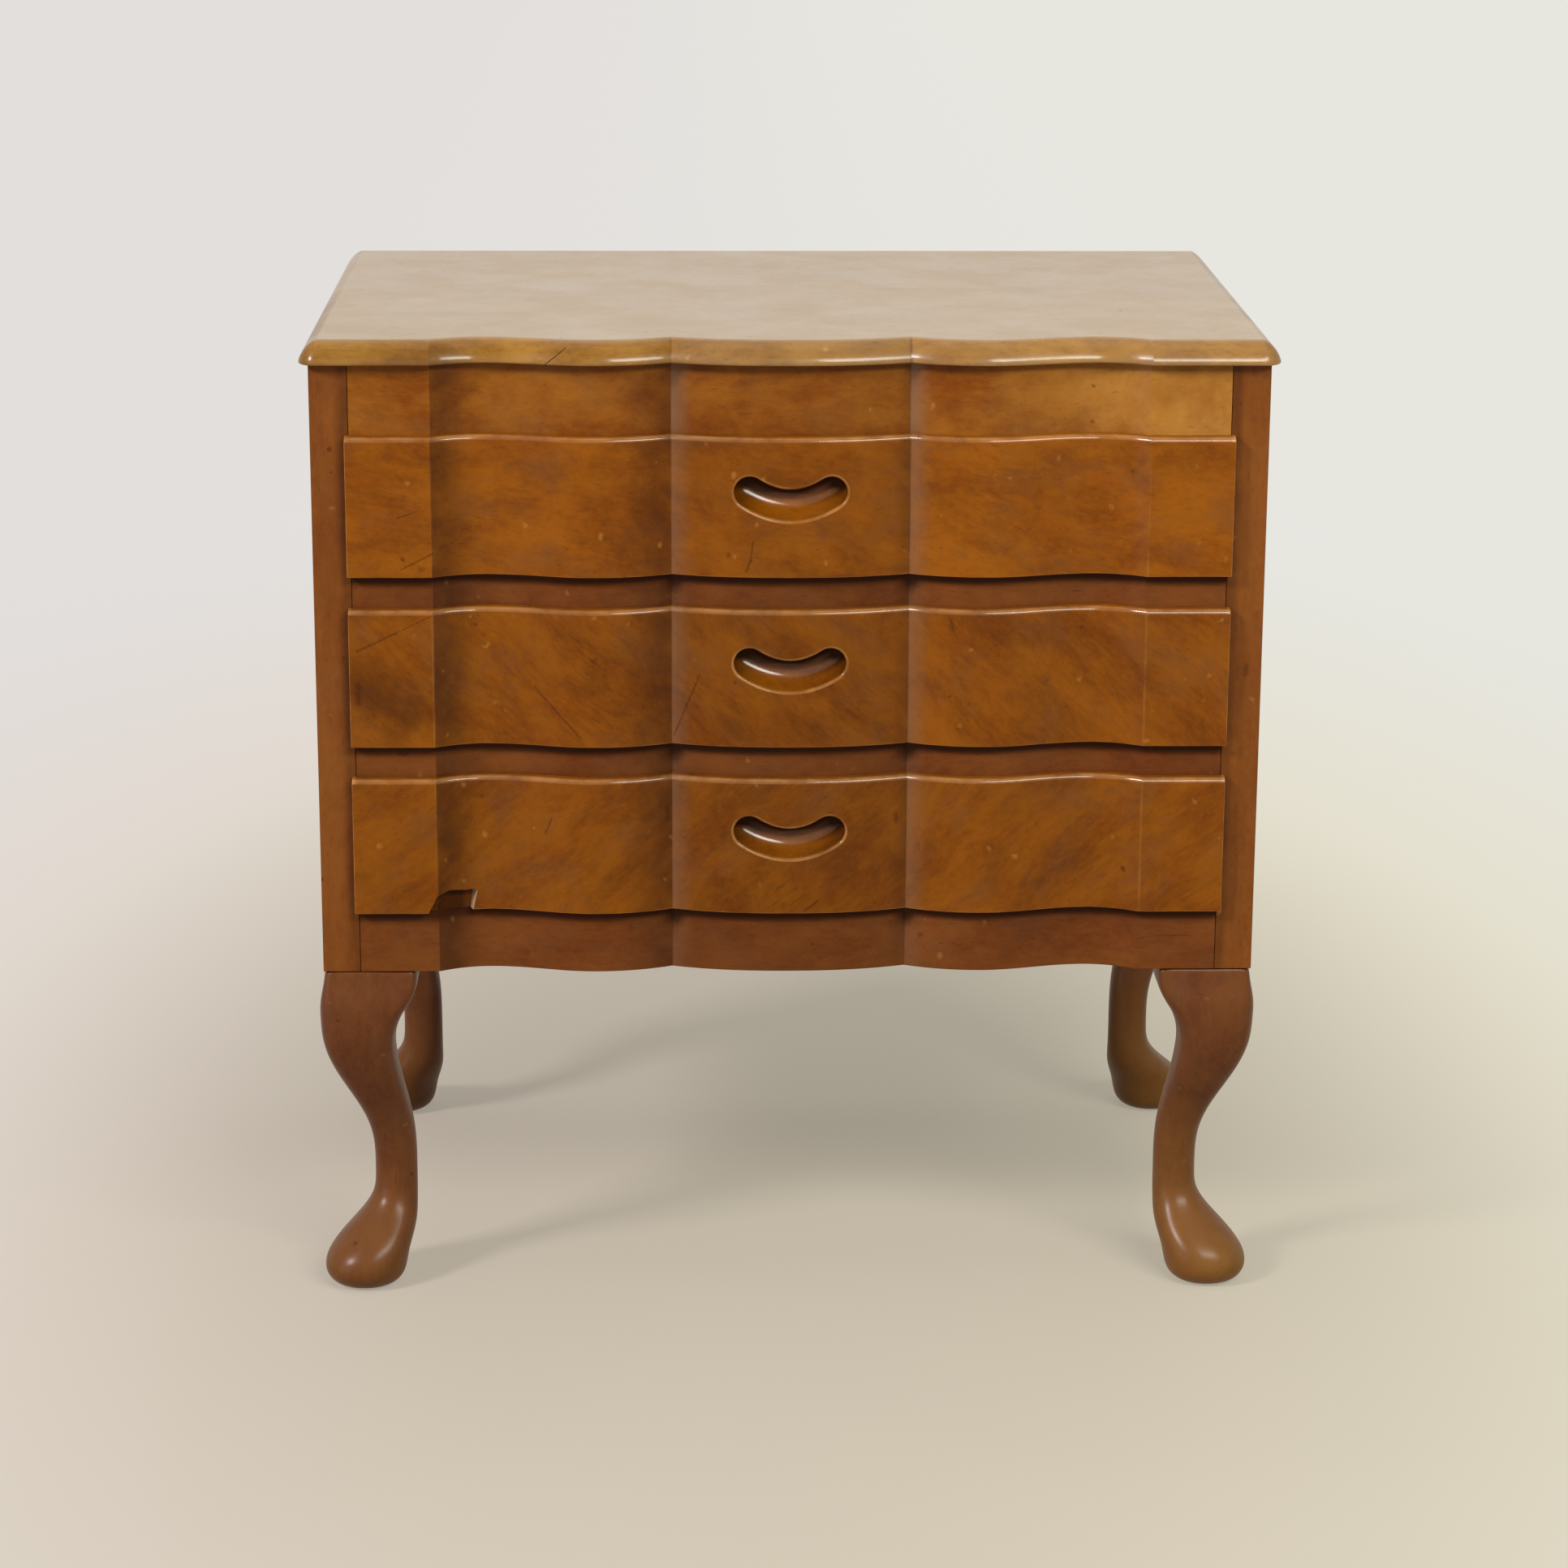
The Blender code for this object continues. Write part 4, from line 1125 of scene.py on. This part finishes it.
# The finishes below also set how strong their painted shade, shadow and sheen are
FINISHES = {
    "lower": drawer_finish("lower drawer wood", 0.85, 0.4, 36, LOWER_SCORES),
    "middle": drawer_finish("middle drawer wood", 0.87, 2.9, -42, MIDDLE_SCORES),
    "upper": drawer_finish("upper drawer wood", 0.98, 6.3, -9, UPPER_SCORES),
    "frieze": wood_finish(
        "frieze wood", (0.130, 0.030, 0.0015), (0.215, 0.056, 0.0025), (0.33, 0.125, 0.012),
        (0.50, 0.27, 0.09), shift=1.1, swirl=0.03, shade_and_grime=0.7, painted_sheen=0.6,
        faded=(0.47, 0.23, 0.048), patches=0.3),
    "rail": wood_finish(
        "rail wood", (0.090, 0.022, 0.0030), (0.150, 0.039, 0.0060), (0.20, 0.066, 0.012),
        RUBBED_WOOD, shift=3.1, clouds=0.5, shade_and_grime=0.7, painted_sheen=0.2, scores=RAIL_SCORES),
    "stile": wood_finish(
        "stile wood", (0.130, 0.036, 0.0055), (0.200, 0.060, 0.0085), (0.27, 0.094, 0.017),
        RUBBED_WOOD, turn=ALONG_Z, shift=5.7, clouds=0.35, bloom=0.15, shade_and_grime=0.75,
        lips=1.0, waves=0.1, scores=STILE_SCORES),
    "top": wood_finish(
        "top wood", (0.120, 0.044, 0.003), (0.250, 0.105, 0.008), (0.38, 0.190, 0.030),
        (0.60, 0.38, 0.15), shift=1.7, shade_and_grime=0.75, hollows=0.4, gloss=0.34, sheen=0.15,
        coat=0.1, faded=(0.42, 0.297, 0.188), patches=0.8),
    "leg": wood_finish(
        "leg wood", (0.075, 0.019, 0.004), (0.125, 0.034, 0.007), (0.17, 0.058, 0.012),
        RUBBED_WOOD, turn=ALONG_Z, shift=8.3, clouds=0.5, flecks=0.25, coat=0.3, blur=0.27,
        faded=(0.21, 0.092, 0.018)),
    "inner along": inner_finish("inner wood along", ALONG_Y, 2.2),
    "inner across": inner_finish("inner wood across", ALONG_X, 4.4),
}


# Dressing the frame

def settle(piece, node, finish, body="carcass"):
    """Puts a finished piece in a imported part's stead."""
    smooth(piece)
    piece.name = f"{node}_shaped"
    piece.data.materials.clear()
    piece.data.materials.append(FINISHES[finish])
    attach(piece, body)
    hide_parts(node)


def dress_inside():
    """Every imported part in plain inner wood, which stays on those out of sight or nearly so."""
    for node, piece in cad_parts.items():
        for slot in piece.material_slots:
            slot.material = FINISHES["inner across" if "bottom" in node else "inner along"]


def dress_fronts():
    """The three drawer fronts, the lower one with its broken lip."""
    model = drawer_front()
    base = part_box("upper_drawer_front")[0].z
    for name in DRAWERS:
        node = f"{name}_drawer_front"
        low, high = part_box(node)
        front = moved_copy(model, f"{node}_shaped", low.z - base)
        broken = name == DRAWERS[0]
        if broken:
            combine(front, lip_break(low.z), "DIFFERENCE")
        mark(front, "worn", front_wear, low, high)
        mark(front, "shade_and_dirt", front_shade_and_dirt, low, broken)
        mark(front, "polished", front_polish, low, high)
        if broken:
            mark(front, "faded", break_end, low, faces=True)
        settle(front, node, name, f"{name}_drawer")
    bpy.data.objects.remove(model)


def dress_top():
    """The top board: its flat bleached and paled by a painted sheen, its ends paler than its front by a
    painted sheen, painted shade at the left of its moulding, its nose polished.
    """
    top = moulded_top()
    low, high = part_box("top_board")
    level = high.z - TINY
    edge = high.x - THUMBNAIL_WIDTH
    nose = low.z + THUMBNAIL_WIDTH / 3
    corner = low.y + 2 * CORNER_RADIUS

    # Bleached, with a painted sheen on the flat and at the ends
    def bleached_and_sheen(place):
        if place.z > level:
            return 1.0
        if place.y > corner:
            return ENDS_PAINTED_SHEEN
        fall = (high.z - place.z) / (high.z - low.z)
        least = MOULDING_PALE if place.x > -CENTRE_HALF else 0.0
        return max(least, 1 - MOULDING_FADE * math.sqrt(fall))

    # Painted shade on the moulding's left end
    def moulding_left_shade(place):
        left_end = place.x < -CREASE - TINY and place.y < corner and place.z < level
        return MOULDING_LEFT_SHADE if left_end else 0.0

    def polished(place):
        if place.z > level or abs(place.x) > edge:
            return FLAT_POLISH
        return NOSE_POLISH if place.z < nose else 0.0

    mark(top, "faded", bleached_and_sheen)
    mark(top, "shade_and_dirt", moulding_left_shade)
    mark(top, "polished", polished)
    settle(top, "top_board", "top")


def dress_leg(node, side):
    """A leg, rubbed paler and paler towards its foot, less on the left foot as painted shade."""
    leg = cabriole_leg(node)
    pale = FOOT_PALE[side]
    fade = FOOT_FADE[side]
    mark(leg, "faded", lambda place: pale * max(0.0, 1.0 - place.z / fade) ** FOOT_FADE_POWER)
    settle(leg, node, "leg")


def dress_carcass():
    """The rails, top, sides and legs, and the plain boards behind them."""
    frieze = serpentine_rail("frieze_rail", FRIEZE_SHADOW)

    def paler(place):
        return min(FRIEZE_PALE, max(0.0, FRIEZE_FADE * place.x / OPENING_HALF - FRIEZE_FADE_START))

    mark(frieze, "faded", paler)
    settle(frieze, "frieze_rail", "frieze")
    for node in ("middle_drawer_divider", "lower_drawer_divider", "apron_rail"):
        settle(serpentine_rail(node, RAIL_SHADOW), node, "rail")
    dress_top()
    for side in SIDES:
        node = f"{side}_side_panel"
        settle(eased_board(node, BOARD_EASE), node, "stile")
        for end in ENDS:
            dress_leg(f"{end}_{side}_leg", side)
    for node in ("back_panel", "rear_top_rail"):
        settle(eased_board(node, INNER_EASE), node, "inner across")


def dress_drawer_boxes():
    """The sides and backs of the drawers, with their edges eased."""
    for name in DRAWERS:
        for part in ("left_side", "right_side", "back"):
            node = f"{name}_drawer_{part}"
            finish = "inner across" if part == "back" else "inner along"
            settle(eased_board(node, INNER_EASE), node, finish, f"{name}_drawer")


# Stage, light and camera

FLOOR_REACH = 30.0
FLOOR_COLOUR = (0.46, 0.41, 0.335, 1.0)
FLOOR_STAIN = (0.41, 0.365, 0.295, 1.0)
# Painted glow near the chest, from left to right, then the pale ground far away, from left to right
NEAR_GLOW = ((0.75, 0.66, 0.58, 1.0), (0.78, 0.73, 0.56, 1.0))
FAR_PAPER = ((0.765, 0.735, 0.72, 1.0), (0.80, 0.795, 0.745, 1.0))
SIDE_REACH = 0.9
NEAR_SHARE = 0.40
ROOM_COLOUR = (0.17, 0.173, 0.178, 1.0)


def set_stage():
    """A pale floor, lit round the chest and partly painted there with a glow seen from the camera that
    lifts its shadows, that turns into an even pale ground further away.
    """
    bpy.ops.mesh.primitive_plane_add(size=2 * FLOOR_REACH)
    floor = bpy.context.object
    floor.name = "floor"
    material = bpy.data.materials.new("floor paper")
    material.use_nodes = True
    sheet = Sheet(material.node_tree)
    shader = sheet.nodes["Principled BSDF"]
    place = sheet.place("ShaderNodeTexCoord", {}, "Object")
    stain = sheet.span(sheet.noise(place, 3.0, 4.0), 0.3, 0.7, 0.0, 0.25)
    sheet.join(sheet.mix(stain, FLOOR_COLOUR, FLOOR_STAIN), shader.inputs["Base Color"])
    shader.inputs["Roughness"].default_value = 0.85
    shader.inputs["Specular IOR Level"].default_value = 0.2
    spread = sheet.stretch(place, (1.0, 0.5, 1.0))
    reach = sheet.place("ShaderNodeVectorMath", {0: spread}, 1, operation="LENGTH")
    far = sheet.span(reach, 0.3, 1.3)
    # The painted glow's share near the chest, which lightens the floor's shadows
    near = sheet.span(reach, 0.22, 0.75, NEAR_SHARE, 1.0)
    across = sheet.place("ShaderNodeSeparateXYZ", {0: place})
    side = sheet.span(across, -SIDE_REACH, SIDE_REACH)
    paper = sheet.mix(far, sheet.mix(side, *NEAR_GLOW), sheet.mix(side, *FAR_PAPER))
    ground = sheet.place("ShaderNodeEmission", {"Color": paper, "Strength": 1.0})
    share = sheet.times(near, sheet.seen())
    blend = sheet.place("ShaderNodeMixShader", {0: share, 1: shader.outputs[0], 2: ground})
    sheet.join(blend, sheet.nodes["Material Output"].inputs["Surface"])
    floor.data.materials.append(material)


def softbox(name, place, target, size, power, colour):
    """A square lamp with soft light, turned towards a target."""
    lamp = bpy.data.lights.new(name, "AREA")
    lamp.shape = "RECTANGLE"
    lamp.size, lamp.size_y = size
    lamp.energy = power
    lamp.color = colour
    piece = bpy.data.objects.new(name, lamp)
    bpy.context.scene.collection.objects.link(piece)
    turn = (Vector(target) - Vector(place)).to_track_quat("-Z", "Y")
    piece.matrix_world = Matrix.Translation(place) @ turn.to_matrix().to_4x4()


def set_light():
    """A soft lamp at the left with a low card, a long lamp at the right, one above, and a pale room."""
    softbox("left lamp", (-4.6, -3.35, 4.05), (0.0, 0.0, 0.35), (1.3, 1.2), 290.0, (1.0, 0.94, 0.945))
    softbox("left card", (-1.75, -1.25, 0.22), (0.0, -0.2, 0.32), (1.2, 0.45), 2.5, (1.0, 0.90, 0.90))
    softbox("right lamp", (1.0, -1.9, 1.85), (0.1, 0.0, 0.35), (1.5, 0.55), 46.0, (1.0, 1.0, 0.88))
    softbox("ceiling lamp", (0.0, 0.1, 3.2), (0.0, 0.0, 0.5), (2.4, 2.0), 23.0, (1.0, 0.98, 0.95))
    world = bpy.context.scene.world or bpy.data.worlds.new("room")
    bpy.context.scene.world = world
    world.use_nodes = True
    sheet = Sheet(world.node_tree)
    room = sheet.mix(sheet.seen(), ROOM_COLOUR, FAR_PAPER[1])
    back = sheet.nodes["Background"]
    sheet.join(room, back.inputs["Color"])
    back.inputs["Strength"].default_value = 1.0


def set_camera():
    """The camera at the photograph's viewing angle."""
    lens = bpy.data.cameras.new("camera")
    lens.lens = CAMERA_LENS
    lens.sensor_width = CAMERA_SENSOR
    camera = bpy.data.objects.new("camera", lens)
    bpy.context.scene.collection.objects.link(camera)
    turn = Matrix.Rotation(-CAMERA_YAW, 4, "Z") @ Matrix.Rotation(math.pi / 2 - CAMERA_PITCH, 4, "X")
    turn = turn @ Matrix.Rotation(CAMERA_ROLL, 4, "Z")
    camera.matrix_world = Matrix.Translation(CAMERA_PLACE) @ turn
    bpy.context.scene.camera = camera


dress_inside()
dress_fronts()
dress_carcass()
dress_drawer_boxes()
set_stage()
set_light()
set_camera()
bpy.context.scene.view_settings.view_transform = "Standard"
